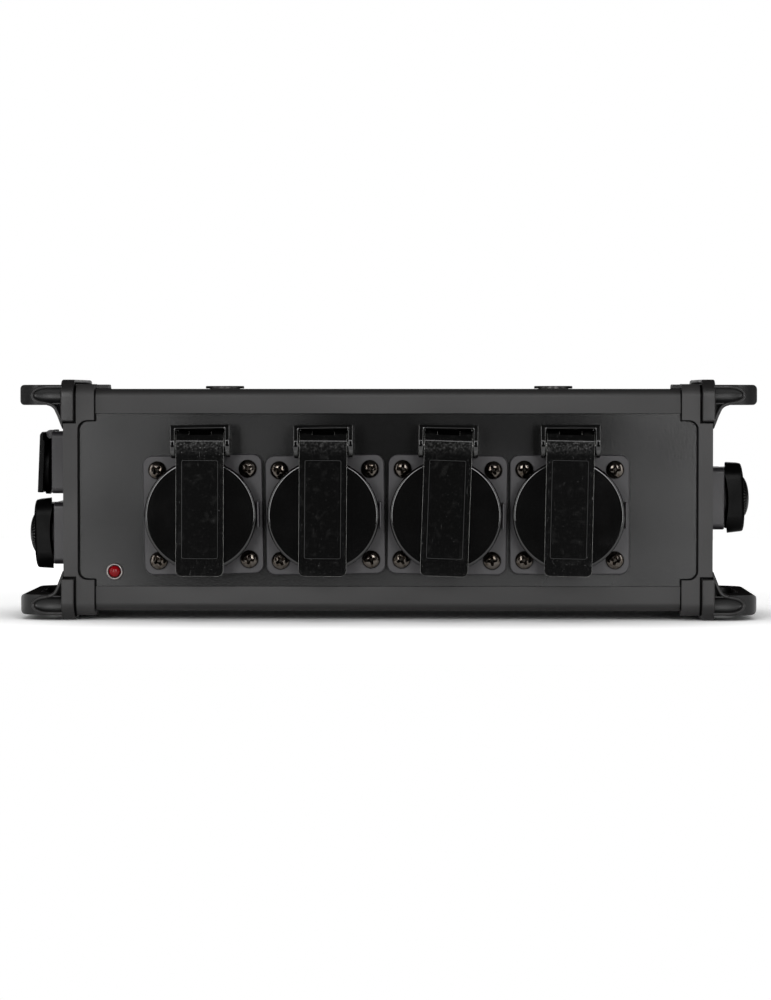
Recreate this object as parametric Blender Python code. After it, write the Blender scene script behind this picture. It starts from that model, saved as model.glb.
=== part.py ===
"""Power splitter box for the stage: an aluminium box with four lidded sockets and three side connectors.

Metres, +Z up, the front towards -Y, the length along X. The origin is the middle of the box's footprint, on the
surface that it stands on. Shapes are modelled about the box's long axis and hung from one empty.
"""

import math

import bmesh
import bpy
from mathutils import Matrix, Vector

MM = 0.001
FRONT = -1
REAR = 1
LEFT = -1
RIGHT = 1

# Clearances
SEAT_GAP = 0.2 * MM
FIT_GAP = 0.3 * MM
SLIDE_GAP = 0.25 * MM
HOLE_GAP = 0.3 * MM
CUT_PAST = 1.0 * MM
WELD_IN = 0.5 * MM

# Box
BODY_LENGTH = 272.5 * MM
EXTRUSION_HEIGHT = 93.4 * MM
EXTRUSION_DEPTH = 72.3 * MM
EXTRUSION_RADIUS = 3.5 * MM
WALL = 2.5 * MM
LIP_HEIGHT = 10.4 * MM
LIP_SKIN = 0.9 * MM
LIP_REAR_RIB = 1.5 * MM
GROOVE_DEPTH = 4.0 * MM
PORT_REACH = 9.3 * MM
PORT_HALF = 3.8 * MM
PORT_BORE = 3.4 * MM
PORT_DEPTH = 16.0 * MM
PANEL_THICKNESS = 2.0 * MM
PANEL_RADIUS = 1.0 * MM

# End frames, with the screws that hold them and the horns
RING_THICKNESS = 6.0 * MM
RING_OPENING = (49.0 * MM, 74.0 * MM)
RING_OPENING_RADIUS = 6.0 * MM
BLOCK_SKIN = 2.0 * MM
BLOCK_REACH = 7.0 * MM
BLOCK_LEG = 15.1 * MM
BLOCK_FILLET = 4.0 * MM
FRAME_SCREW_Y = 28.5 * MM
FRAME_SCREW_Z = 43.6 * MM
FRAME_SCREW_HOLE = 4.3 * MM
FRAME_SCREW_HEAD_HOLE = 6.0 * MM
FRAME_SCREW_HEAD_SEAT = 7.0 * MM
END_PANEL = (60.0 * MM, 78.4 * MM)
END_PANEL_THICKNESS = 3.0 * MM
END_PANEL_RECESS = 2.7 * MM
END_PANEL_RADIUS = 2.0 * MM

# Bumper: strap and horn
STRAP_GAP = 0.2 * MM
STRAP_THICKNESS = 1.7 * MM
STRAP_WIDTH = 4.6 * MM
STRAP_LEG = 17.6 * MM
CHEEK_OUT = 0.9 * MM
HORN_REACH = 19.6 * MM
HORN_DROP = 2.2 * MM
HORN_THICKNESS = 8.5 * MM
HORN_EDGE_RADIUS = 2.0 * MM
HORN_SIDE_INSET = 1.7 * MM
HORN_PLAN_RADIUS = 15.0 * MM
GUSSET_REACH = 5.8 * MM
GUSSET_RADIUS = 4.0 * MM
GUSSET_DROP = 19.0 * MM
GUSSET_TOE = 0.9 * MM
GUSSET_SWEEP_DEG = 70.0
FINGER_GAP = (9.8 * MM, 40.0 * MM)
FINGER_GAP_START = 2.6 * MM
FINGER_GAP_RADIUS = 3.5 * MM
FLUTE_RIM = 1.6 * MM
FLUTE_DEPTH = 2.5 * MM
FLUTE_START = 1.4 * MM
FLUTE_END = 14.0 * MM
FLUTE_SWEEP_DEG = 50.0

# Clamp inserts on the top
INSERT_SPREAD = 141.2 * MM
INSERT_FLANGE = 16.5 * MM
INSERT_FLANGE_THICKNESS = 1.1 * MM
INSERT_BARREL = 13.0 * MM
INSERT_LENGTH = 15.0 * MM
INSERT_BORE = 8.6 * MM

# Indicator lamp
LAMP_PAST_MIDDLE = 1.375 * MM
LAMP_FROM_LIP = 6.2 * MM
LENS_DIAMETER = 4.8 * MM
LENS_PROUD = 1.0 * MM
LENS_DOME = 1.6 * MM
LENS_LENGTH = 7.0 * MM
BEZEL_DIAMETER = 7.2 * MM
BEZEL_BODY = 6.0 * MM
BEZEL_PROUD = 1.2 * MM
BEZEL_LENGTH = 9.0 * MM

# Sockets
SOCKET_SPACING = 1.2 * MM
SOCKET_ROW_X = -0.5 * MM
SOCKET_ROW_Z = -6.1 * MM
SOCKET_TWIST_DEG = (1.0, 0.8, -0.8, 0.0)
FLANGE_SIDE = 50.0 * MM
FLANGE_RADIUS = 4.0 * MM
FLANGE_THICKNESS = 3.0 * MM
COLLAR_RADIUS = 21.4 * MM
COLLAR_PROUD = 7.0 * MM
SOCKET_DEPTH = 36.2 * MM
WELL_RADIUS = 19.5 * MM
WELL_DEPTH = 17.5 * MM
CONTACT_SPREAD = 19.0 * MM
CONTACT_HOLE = 5.4 * MM
CONTACT_DEPTH = 10.0 * MM
SCREW_SPACING = 38.0 * MM
SCREW_SHANK = 3.2 * MM
SCREW_CLEARANCE_HOLE = 3.7 * MM
SCREW_HEAD = 7.3 * MM
SCREW_HEAD_HEIGHT = 2.4 * MM
SCREW_HEAD_FLAT = 4.6 * MM
SCREW_HEAD_CROWN = 1.3 * MM
SCREW_LENGTH = 9.0 * MM
SCREW_CROSS = (3.9 * MM, 0.9 * MM, 1.2 * MM)

# Lid hinge on top of each flange
HINGE_WIDTH = 24.3 * MM
HINGE_TOP = 37.8 * MM
HINGE_EAR = 2.3 * MM
HINGE_ROOF = 1.5 * MM
HINGE_ROOF_REACH = 11.3 * MM
HINGE_AXIS_OUT = 8.0 * MM
HINGE_AXIS_Z = 29.8 * MM
EAR_RADIUS = 5.8 * MM
EAR_BACK_ANGLE = 150.0
LID_RADIUS = 23.4 * MM
LID_CLEARANCE = 0.5 * MM
LID_PLATE = 2.5 * MM
LID_SKIRT = 4.8 * MM
LID_SKIRT_WALL = 0.9 * MM
LID_CHAMFER = 0.8 * MM
LID_LEAN_DEG = 1.2
STRAP_SIDE_GAP = 0.55 * MM
PULL_PROUD = 3.5 * MM
PULL_BOTTOM = -25.2 * MM
PULL_CORNER = 2.5 * MM
PULL_BACK_IN = 0.3 * MM
LABEL_SIZE = (14.8 * MM, 40.6 * MM)
LABEL_CENTRE = 2.6 * MM
LABEL_DEPTH = 0.4 * MM
BARREL_RADIUS = 5.5 * MM
PIN_RADIUS = 1.25 * MM
PIN_EAR_GAP = 0.2 * MM
PIN_LID_GAP = 0.45 * MM
PIN_END_IN = 0.3 * MM
SPRING_SLOT = 9.2 * MM
SPRING_ROOM = 3.9 * MM
SPRING_MEAN_RADIUS = 2.4 * MM
SPRING_WIRE_RADIUS = 0.35 * MM
SPRING_WIDTH = 6.4 * MM
SPRING_TURNS = 3

# Side connectors, each about its own middle: outwards, along the hinge, towards the hinge
CONNECTOR_SHORT = 26.4 * MM
CONNECTOR_LONG = 31.0 * MM
CONNECTOR_FLANGE_RADIUS = 2.5 * MM
CONNECTOR_FLANGE_OUT = 6.7 * MM
CONNECTOR_COLLAR_RADIUS = 9.9 * MM
CONNECTOR_COLLAR_OUT = 8.5 * MM
CONNECTOR_BARREL_RADIUS = 11.8 * MM
CONNECTOR_INSIDE = 30.0 * MM
CONNECTOR_MOUTH_RADIUS = 8.5 * MM
CONNECTOR_MOUTH_DEPTH = 16.5 * MM
CAP_AXIS_OUT = 8.7 * MM
CAP_AXIS_EDGE = 1.2 * MM
CAP_EAR_RADIUS = 1.9 * MM
CAP_EAR_WIDTH = 2.2 * MM
CAP_KNUCKLE_WIDTH = 13.8 * MM
CAP_KNUCKLE_RADIUS = 1.7 * MM
CAP_KNUCKLE_SIDE_GAP = 0.3 * MM
CAP_PIN_RADIUS = 0.8 * MM
CAP_PIN_GAP = 0.2 * MM
CAP_HINGE_GAP = 0.5 * MM
FLAP_BACK = 10.0 * MM
FLAP_THICKNESS = 2.4 * MM
FLAP_LEAN_DEG = 2.3
FLAP_OVERHANG = -0.3 * MM
FLAP_RADIUS = 1.5 * MM
CAP_BACK = 7.0 * MM
CAP_THICKNESS = 7.9 * MM
CAP_CHAMFER = 3.0 * MM
CAP_OVERHANG = 2.0 * MM
CAP_RADIUS = 3.0 * MM
CAP_CAVITY_RADIUS = 11.0 * MM
CAP_CAVITY_OUT = 9.3 * MM
DOME_RADIUS = 8.3 * MM
DOME_HEIGHT = 2.7 * MM
UPPER_INLET_Z = 15.3 * MM
LOWER_INLET_Z = -14.9 * MM
OUTLET_Z = 0.0 * MM

# Wiring inside
CORE_RADIUS = 1.4 * MM
LINK_RADIUS = 2.5 * MM
CORE_OFFSET = 4.0 * MM
CORE_LEVELS = {"live": 8.0 * MM, "neutral": -8.0 * MM, "earth": 0.0 * MM}
STUD_X = -95.0 * MM
STUD_Z = -9.0 * MM
STUD_RADIUS = 2.0 * MM
STUD_LENGTH = 10.0 * MM
STUD_NUT = (3.5 * MM, 3.2 * MM)
CORE_STRAIGHT = 5.0 * MM
CORE_TURN = 11.0 * MM
CORE_RETURN = 12.0 * MM
CORE_SETTLE = (8.0 * MM, 2.0 * MM)
EARTH_TURN = (8.0 * MM, -4.0 * MM, 2.0 * MM)
EARTH_LEAVE = (8.0 * MM, 2.0 * MM)
LINK_BULGE = 9.0 * MM
LINK_RISE = 1.0 * MM
LINK_TOP = 7.0 * MM

# How finely curves are drawn
CORNER_STEPS = 3
CURVE_STEPS = 5
EAR_STEPS = 8
BARREL_STEPS = 12
DOME_STEPS = 3
ROUND_SIDES = 24
FITTING_SIDES = 16
SMALL_SIDES = 12
SCREW_SIDES = 8
NUT_SIDES = 6
SPRING_POINTS_PER_TURN = 7
ROUTE_STEPS = 3
THIN_WIRE_DETAIL = 0
CABLE_DETAIL = 1
SHARP_ANGLE_DEG = 35.0

# Worked out from the sizes above
FRAME_HEIGHT = EXTRUSION_HEIGHT + 2 * BLOCK_SKIN
FRAME_DEPTH = EXTRUSION_DEPTH + 2 * BLOCK_SKIN
FRAME_RADIUS = EXTRUSION_RADIUS + BLOCK_SKIN
STRAP_IN = STRAP_GAP + STRAP_THICKNESS
BOX_HEIGHT = FRAME_HEIGHT + 2 * STRAP_IN
BOX_DEPTH = FRAME_DEPTH + 2 * STRAP_IN
FRAME_FACE = BODY_LENGTH / 2
RING_BACK = FRAME_FACE - RING_THICKNESS
EXTRUSION_FRONT = -EXTRUSION_DEPTH / 2
LIP_EDGE = EXTRUSION_HEIGHT / 2 - LIP_HEIGHT
GROOVE_WIDTH = PANEL_THICKNESS + 2 * SLIDE_GAP
LIP_THICKNESS = LIP_SKIN + GROOVE_WIDTH + LIP_REAR_RIB
PANEL_FRONT = EXTRUSION_FRONT + LIP_SKIN + SLIDE_GAP
FLANGE_BACK = PANEL_FRONT - SEAT_GAP
FLANGE_FRONT = FLANGE_BACK - FLANGE_THICKNESS
COLLAR_FRONT = FLANGE_FRONT - COLLAR_PROUD
SOCKET_BACK = COLLAR_FRONT + SOCKET_DEPTH
WELL_FLOOR = COLLAR_FRONT + WELL_DEPTH
HINGE_Y = FLANGE_FRONT - HINGE_AXIS_OUT
EAR_INSIDE = HINGE_WIDTH / 2 - HINGE_EAR
LID_BACK = COLLAR_FRONT - LID_CLEARANCE
LID_FRONT = LID_BACK - LID_PLATE
PULL_FRONT = LID_FRONT - PULL_PROUD
PULL_WIDTH = 2 * (EAR_INSIDE - STRAP_SIDE_GAP)
BOX_FRONT = min(HINGE_Y - EAR_RADIUS, PULL_FRONT)
BOX_REAR = BOX_DEPTH / 2
BOX_CENTRE = Vector((0.0, -(BOX_FRONT + BOX_REAR) / 2, BOX_HEIGHT / 2))
SOCKET_PITCH = max(FLANGE_SIDE, 2 * LID_RADIUS) + SOCKET_SPACING
FIRST_FLANGE_EDGE = SOCKET_ROW_X - SOCKET_PITCH * (len(SOCKET_TWIST_DEG) - 1) / 2 - FLANGE_SIDE / 2
LAMP_X = (FIRST_FLANGE_EDGE - RING_BACK) / 2 + LAMP_PAST_MIDDLE
LAMP_Z = LAMP_FROM_LIP - LIP_EDGE


def arc(centre, radius, start_deg, end_deg, steps=CORNER_STEPS):
    """Points on a circle's arc, both ends among them."""
    points = []
    for step in range(steps + 1):
        angle = math.radians(start_deg + (end_deg - start_deg) * step / steps)
        points.append((centre[0] + radius * math.cos(angle), centre[1] + radius * math.sin(angle)))
    return points


def rounded_box(width, height, radius, centre=(0.0, 0.0)):
    """The outline of a rectangle with rounded corners."""
    points = []
    for quarter, (side, level) in enumerate(((1, 1), (-1, 1), (-1, -1), (1, -1))):
        middle = (
            centre[0] + side * (width / 2 - radius),
            centre[1] + level * (height / 2 - radius),
        )
        points += arc(middle, radius, 90 * quarter, 90 * quarter + 90)
    return points


def in_space(axis, along, u, v):
    """A point at u, v of an outline that lies across the named axis."""
    return {"X": (along, u, v), "Y": (u, along, v), "Z": (u, v, along)}[axis]


def facing_out(shape):
    bmesh.ops.recalc_face_normals(shape, faces=shape.faces)
    return shape


def loft(axis, sections):
    """A closed shape through outlines of equally many points, each given with its place along the axis."""
    shape = bmesh.new()
    rings = []
    for along, outline in sections:
        rings.append([shape.verts.new(in_space(axis, along, u, v)) for u, v in outline])
    for near, far in zip(rings, rings[1:]):
        for k, corner in enumerate(near):
            after = (k + 1) % len(near)
            shape.faces.new((corner, near[after], far[after], far[k]))
    shape.faces.new(rings[0])
    shape.faces.new(rings[-1])
    return facing_out(shape)


def prism(axis, outline, start, end):
    return loft(axis, ((start, outline), (end, outline)))


def turned(axis, profile, sides, centre=(0.0, 0.0)):
    """A solid of revolution. The profile is (radius, place along the axis) and starts and ends on the axis."""
    shape = bmesh.new()
    rings = []
    for radius, along in profile:
        count = sides if radius else 1
        ring = []
        for k in range(count):
            angle = 2 * math.pi * (k + 0.5) / sides
            u = centre[0] + radius * math.cos(angle)
            v = centre[1] + radius * math.sin(angle)
            ring.append(shape.verts.new(in_space(axis, along, u, v)))
        rings.append(ring)
    for near, far in zip(rings, rings[1:]):
        for k in range(sides):
            after = (k + 1) % sides
            corners = [near[k % len(near)], near[after % len(near)], far[after % len(far)], far[k % len(far)]]
            shape.faces.new(list(dict.fromkeys(corners)))
    return facing_out(shape)


def rod(axis, radius, start, end, centre=(0.0, 0.0), sides=SMALL_SIDES):
    return turned(axis, ((0.0, start), (radius, start), (radius, end), (0.0, end)), sides, centre)


def together(*shapes):
    """Shapes that don't touch, as one."""
    result = bmesh.new()
    for shape in shapes:
        mesh = bpy.data.meshes.new("part")
        shape.to_mesh(mesh)
        result.from_mesh(mesh)
        bpy.data.meshes.remove(mesh)
        shape.free()
    return result


def moved(shape, matrix):
    """The shape under a matrix, its faces outward also where the matrix mirrors it."""
    result = shape.copy()
    bmesh.ops.transform(result, matrix=matrix, verts=result.verts)
    return facing_out(result)


def scratch_object(shape):
    mesh = bpy.data.meshes.new("scratch")
    shape.to_mesh(mesh)
    shape.free()
    obj = bpy.data.objects.new("scratch", mesh)
    bpy.context.scene.collection.objects.link(obj)
    return obj


def combined(operation, first, second):
    """The exact Boolean of two closed shapes, which it uses up."""
    target = scratch_object(first)
    tool = scratch_object(second)
    modifier = target.modifiers.new("combine", "BOOLEAN")
    modifier.operation = operation
    modifier.object = tool
    evaluated = target.evaluated_get(bpy.context.evaluated_depsgraph_get())
    result = bmesh.new()
    result.from_mesh(evaluated.data)
    for obj in (target, tool):
        mesh = obj.data
        bpy.data.objects.remove(obj)
        bpy.data.meshes.remove(mesh)
    return result


def union(first, *others):
    for other in others:
        first = combined("UNION", first, other)
    return first


def cut(shape, *tools):
    for tool in tools:
        shape = combined("DIFFERENCE", shape, tool)
    return shape


def round_bottom_corners(shape):
    """Rounds the edges that run from front to back at the shape's lowest level."""
    lowest = min(vert.co.z for vert in shape.verts)
    edges = []
    for edge in shape.edges:
        first, last = (vert.co for vert in edge.verts)
        if max(first.z, last.z) < lowest + SEAT_GAP and abs(first.x - last.x) < SEAT_GAP:
            edges.append(edge)
    bmesh.ops.bevel(
        shape, geom=edges, offset=PULL_CORNER, segments=CORNER_STEPS, profile=0.5, affect="EDGES"
    )


def make_material(name, colour, roughness, metallic=0.0):
    material = bpy.data.materials.new(name)
    material.use_nodes = True
    shader = material.node_tree.nodes["Principled BSDF"]
    shader.inputs["Base Color"].default_value = (*colour, 1.0)
    shader.inputs["Roughness"].default_value = roughness
    shader.inputs["Metallic"].default_value = metallic
    material.diffuse_color = (*colour, 1.0)
    return material


def make_empty(name, parent=None, matrix=None):
    empty = bpy.data.objects.new(name, None)
    bpy.context.scene.collection.objects.link(empty)
    empty.parent = parent
    empty.matrix_local = matrix or Matrix()
    return empty


def make_node(name, data, material, parent, matrix=None):
    """One sub-part's object, hung from an empty that may stand on its joint's axis."""
    data.materials.clear()
    data.materials.append(material)
    obj = bpy.data.objects.new(name, data)
    bpy.context.scene.collection.objects.link(obj)
    obj.parent = parent
    obj.matrix_local = matrix or Matrix()
    return obj


def finished_mesh(name, shape):
    mesh = bpy.data.meshes.new(name)
    shape.to_mesh(mesh)
    shape.free()
    mesh.shade_smooth()
    mesh.set_sharp_from_angle(angle=math.radians(SHARP_ANGLE_DEG))
    return mesh


def housing_extrusion():
    """A C profile: the open front has two lips, each with a groove for the front panel."""
    half = EXTRUSION_HEIGHT / 2
    rear = -EXTRUSION_FRONT
    corner_y = rear - EXTRUSION_RADIUS
    corner_z = half - EXTRUSION_RADIUS
    outer = [(EXTRUSION_FRONT, LIP_EDGE)]
    outer += arc((-corner_y, corner_z), EXTRUSION_RADIUS, 180, 90)
    outer += arc((corner_y, corner_z), EXTRUSION_RADIUS, 90, 0)
    groove_front = EXTRUSION_FRONT + LIP_SKIN
    groove_back = groove_front + GROOVE_WIDTH
    lip_back = EXTRUSION_FRONT + LIP_THICKNESS
    port_z = half - PORT_REACH
    port_y = FRAME_SCREW_Y - PORT_HALF
    inner = [
        (groove_front, LIP_EDGE),
        (groove_front, LIP_EDGE + GROOVE_DEPTH),
        (groove_back, LIP_EDGE + GROOVE_DEPTH),
        (groove_back, LIP_EDGE),
        (lip_back, LIP_EDGE),
        (lip_back, port_z),
        (-port_y, port_z),
        (-port_y, half - WALL),
        (port_y, half - WALL),
        (port_y, port_z),
        (rear - WALL, port_z),
    ]
    lower_outer = [(y, -z) for y, z in reversed(outer)]
    lower_inner = [(y, -z) for y, z in inner]
    outline = outer + lower_outer + lower_inner + inner[::-1]
    end = RING_BACK - FIT_GAP
    shape = prism("X", outline, -end, end)
    bores = []
    for side in (LEFT, RIGHT):
        for y in (-FRAME_SCREW_Y, FRAME_SCREW_Y):
            for z in (-FRAME_SCREW_Z, FRAME_SCREW_Z):
                inner_end = side * (end - PORT_DEPTH)
                bores.append(rod("X", PORT_BORE / 2, inner_end, side * (end + CUT_PAST), (y, z), SCREW_SIDES))
    holes = []
    for x in insert_places():
        hole = INSERT_BARREL / 2 + HOLE_GAP
        holes.append(rod("Z", hole, half - WALL - CUT_PAST, half + CUT_PAST, (x, 0.0), FITTING_SIDES))
    return cut(shape, together(*bores, *holes))


def insert_places():
    return (-INSERT_SPREAD / 2, INSERT_SPREAD / 2)


def socket_places():
    """Each socket's middle along X, left to right."""
    count = len(SOCKET_TWIST_DEG)
    return [SOCKET_ROW_X + SOCKET_PITCH * (k - (count - 1) / 2) for k in range(count)]


def socket_matrix(number):
    """From a socket's own middle to the box's: a positive twist is anticlockwise seen from the front."""
    place = Matrix.Translation((socket_places()[number], 0.0, SOCKET_ROW_Z))
    return place @ Matrix.Rotation(-math.radians(SOCKET_TWIST_DEG[number]), 4, "Y")


def screw_places():
    half = SCREW_SPACING / 2
    return [(side * half, level * half) for level in (1, -1) for side in (-1, 1)]


def front_panel():
    """The plate behind the lips, with a hole for each socket, each screw and the lamp."""
    height = 2 * (LIP_EDGE + GROOVE_DEPTH - SLIDE_GAP)
    end = RING_BACK - FIT_GAP
    back = PANEL_FRONT + PANEL_THICKNESS
    outline = rounded_box(2 * end, height, PANEL_RADIUS)
    start, stop = PANEL_FRONT - CUT_PAST, back + CUT_PAST
    holes = [rod("Y", BEZEL_BODY / 2 + HOLE_GAP, start, stop, (LAMP_X, LAMP_Z))]
    for number in range(len(SOCKET_TWIST_DEG)):
        tool = [rod("Y", COLLAR_RADIUS + HOLE_GAP, start, stop, sides=ROUND_SIDES)]
        for place in screw_places():
            tool.append(rod("Y", SCREW_CLEARANCE_HOLE / 2, start, stop, place, SCREW_SIDES))
        holes.append(moved(together(*tool), socket_matrix(number)))
    return cut(prism("Y", outline, PANEL_FRONT, back), together(*holes))


def end_frame(side):
    """A cast ring at the box's end, with corner blocks that reach over the extrusion's corners."""
    face = side * FRAME_FACE
    back = side * RING_BACK
    inner_end = side * (RING_BACK - BLOCK_REACH)
    outer = rounded_box(FRAME_DEPTH, FRAME_HEIGHT, FRAME_RADIUS)
    shape = prism("X", outer, inner_end, face)
    pocket = rounded_box(
        EXTRUSION_DEPTH + 2 * FIT_GAP, EXTRUSION_HEIGHT + 2 * FIT_GAP, EXTRUSION_RADIUS + FIT_GAP
    )
    rebate_width = END_PANEL[0] + 2 * FIT_GAP
    rebate_height = END_PANEL[1] + 2 * FIT_GAP
    rebate = rounded_box(rebate_width, rebate_height, END_PANEL_RADIUS)
    rebate_floor = side * (FRAME_FACE - END_PANEL_RECESS + SEAT_GAP)
    opening = rounded_box(*RING_OPENING, RING_OPENING_RADIUS)
    window_width = 2 * (BLOCK_REACH + BLOCK_FILLET)
    window_x = back - side * window_width / 2
    front_window = rounded_box(
        window_width, FRAME_HEIGHT - 2 * BLOCK_LEG, BLOCK_FILLET, (window_x, 0.0)
    )
    top_window = rounded_box(window_width, FRAME_DEPTH - 2 * BLOCK_LEG, BLOCK_FILLET, (window_x, 0.0))
    beyond_y = FRAME_DEPTH / 2 + CUT_PAST
    beyond_z = FRAME_HEIGHT / 2 + CUT_PAST
    holes = []
    for y in (-FRAME_SCREW_Y, FRAME_SCREW_Y):
        for z in (-FRAME_SCREW_Z, FRAME_SCREW_Z):
            start, stop = back - side * CUT_PAST, face + side * CUT_PAST
            holes.append(rod("X", FRAME_SCREW_HOLE / 2, start, stop, (y, z), SCREW_SIDES))
    return cut(
        shape,
        prism("X", pocket, inner_end - side * CUT_PAST, back),
        prism("Y", front_window, -beyond_y, beyond_y),
        prism("Z", top_window, -beyond_z, beyond_z),
        prism("X", rebate, back - side * CUT_PAST, rebate_floor),
        prism("X", opening, back - side * CUT_PAST, face + side * CUT_PAST),
        together(*holes),
    )


def end_panel(side, connector_levels):
    """The plate inside an end frame, with a round hole for each connector."""
    outer = side * (FRAME_FACE - END_PANEL_RECESS)
    inner = outer - side * END_PANEL_THICKNESS
    shape = prism("X", rounded_box(*END_PANEL, END_PANEL_RADIUS), inner, outer)
    holes = []
    for level in connector_levels:
        start, stop = inner - side * CUT_PAST, outer + side * CUT_PAST
        radius = CONNECTOR_BARREL_RADIUS + HOLE_GAP
        holes.append(rod("X", radius, start, stop, (0.0, level), ROUND_SIDES))
    return cut(shape, together(*holes))


def horn_side_outline():
    """The horn from the front: (outwards from the end frame's face, height)."""
    top = BOX_HEIGHT / 2 - HORN_DROP
    under = top - HORN_THICKNESS
    corner = HORN_REACH - HORN_EDGE_RADIUS
    outline = [(FIT_GAP, top)]
    outline += arc((corner, top - HORN_EDGE_RADIUS), HORN_EDGE_RADIUS, 90, 0)
    outline += arc((corner, under + HORN_EDGE_RADIUS), HORN_EDGE_RADIUS, 0, -90)
    gusset = (GUSSET_REACH, under - GUSSET_RADIUS)
    outline += arc(gusset, GUSSET_RADIUS, 90, 90 + GUSSET_SWEEP_DEG, CURVE_STEPS)
    outline += [(GUSSET_TOE, top - GUSSET_DROP), (FIT_GAP, top - GUSSET_DROP)]
    return outline


def flute_outline():
    """The hollow in a horn's front and rear faces, inside a rim of even width."""
    top = BOX_HEIGHT / 2 - HORN_DROP
    under = top - HORN_THICKNESS
    radius = HORN_THICKNESS / 2 - FLUTE_RIM
    outline = [(FLUTE_START, top - FLUTE_RIM)]
    outline += arc((FLUTE_END - radius, top - HORN_THICKNESS / 2), radius, 90, -90, CURVE_STEPS)
    gusset = (GUSSET_REACH, under - GUSSET_RADIUS)
    outline += arc(gusset, GUSSET_RADIUS + FLUTE_RIM, 90, 90 + FLUTE_SWEEP_DEG)
    return outline


def bumper():
    """The right-hand upper bumper: a strap round the frame's top and, outside the frame, a horn."""
    face = FRAME_FACE
    strap_bottom = BOX_HEIGHT / 2 - STRAP_LEG
    strap_radius = FRAME_RADIUS + STRAP_IN
    tall = rounded_box(BOX_DEPTH, BOX_HEIGHT, strap_radius)
    saddle = [point for point in tall if point[1] > 0]
    saddle += [(-BOX_DEPTH / 2, strap_bottom), (BOX_DEPTH / 2, strap_bottom)]
    inside = rounded_box(
        FRAME_DEPTH + 2 * STRAP_GAP, FRAME_HEIGHT + 2 * STRAP_GAP, FRAME_RADIUS + STRAP_GAP
    )
    shape = prism("X", saddle, face - STRAP_WIDTH, face + CHEEK_OUT)
    shape = cut(shape, prism("X", inside, face - STRAP_WIDTH - CUT_PAST, face + FIT_GAP))
    side_outline = [(face + u, z) for u, z in horn_side_outline()]
    horn = prism("Y", side_outline, -BOX_DEPTH / 2, BOX_DEPTH / 2)
    plan_depth = BOX_DEPTH - 2 * HORN_SIDE_INSET
    plan = rounded_box(2 * HORN_REACH, plan_depth, HORN_PLAN_RADIUS, (face, 0.0))
    horn = combined("INTERSECT", horn, prism("Z", plan, 0.0, BOX_HEIGHT))
    gap_x = face + FINGER_GAP_START + FINGER_GAP[0] / 2
    gap = rounded_box(*FINGER_GAP, FINGER_GAP_RADIUS, (gap_x, 0.0))
    flute = [(face + u, z) for u, z in flute_outline()]
    floor = plan_depth / 2 - FLUTE_DEPTH
    flutes = [prism("Y", flute, end * floor, end * BOX_DEPTH) for end in (FRONT, REAR)]
    shape = union(shape, horn)
    holes = []
    for y in (-FRAME_SCREW_Y, FRAME_SCREW_Y):
        place = (y, FRAME_SCREW_Z)
        steps = (
            (0.0, face - CUT_PAST),
            (FRAME_SCREW_HOLE / 2, face - CUT_PAST),
            (FRAME_SCREW_HOLE / 2, face + FRAME_SCREW_HEAD_SEAT),
            (FRAME_SCREW_HEAD_HOLE / 2, face + FRAME_SCREW_HEAD_SEAT),
            (FRAME_SCREW_HEAD_HOLE / 2, face + 2 * HORN_REACH),
            (0.0, face + 2 * HORN_REACH),
        )
        holes.append(turned("X", steps, SCREW_SIDES, place))
    return cut(shape, prism("Z", gap, 0.0, BOX_HEIGHT), together(*flutes), together(*holes))


def clamp_insert():
    """A threaded insert about its own axis, its flange on the housing's top at height 0."""
    profile = (
        (0.0, SEAT_GAP + INSERT_FLANGE_THICKNESS),
        (INSERT_FLANGE / 2, SEAT_GAP + INSERT_FLANGE_THICKNESS),
        (INSERT_FLANGE / 2, SEAT_GAP),
        (INSERT_BARREL / 2, SEAT_GAP),
        (INSERT_BARREL / 2, -INSERT_LENGTH),
        (0.0, -INSERT_LENGTH),
    )
    bore = rod("Z", INSERT_BORE / 2, -INSERT_LENGTH - CUT_PAST, INSERT_FLANGE, sides=FITTING_SIDES)
    return cut(turned("Z", profile, FITTING_SIDES), bore)


def dome_profile(radius, rim, rise):
    """A dome from its tip on the axis to its rim, as (radius, place along the axis)."""
    profile = []
    for step in range(DOME_STEPS + 1):
        angle = math.pi / 2 * step / DOME_STEPS
        profile.append((radius * math.sin(angle), rim + rise * math.cos(angle)))
    return profile


def lamp_lens():
    """A round lens with a domed end, about the lamp's own axis."""
    rim = PANEL_FRONT - LENS_PROUD
    back = rim + LENS_LENGTH
    dome = dome_profile(LENS_DIAMETER / 2, rim, -LENS_DOME)
    return turned("Y", (*dome, (LENS_DIAMETER / 2, back), (0.0, back)), SMALL_SIDES)


def lamp_bezel():
    """The ring in the panel that holds the lens."""
    front = PANEL_FRONT - SEAT_GAP - BEZEL_PROUD
    profile = (
        (0.0, front),
        (BEZEL_DIAMETER / 2 - WELD_IN, front),
        (BEZEL_DIAMETER / 2, front + WELD_IN),
        (BEZEL_DIAMETER / 2, PANEL_FRONT - SEAT_GAP),
        (BEZEL_BODY / 2, PANEL_FRONT - SEAT_GAP),
        (BEZEL_BODY / 2, front + BEZEL_LENGTH),
        (0.0, front + BEZEL_LENGTH),
    )
    bore = rod("Y", LENS_DIAMETER / 2 + SEAT_GAP, front - CUT_PAST, front + BEZEL_LENGTH + CUT_PAST)
    return cut(turned("Y", profile, SMALL_SIDES), bore)


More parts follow.
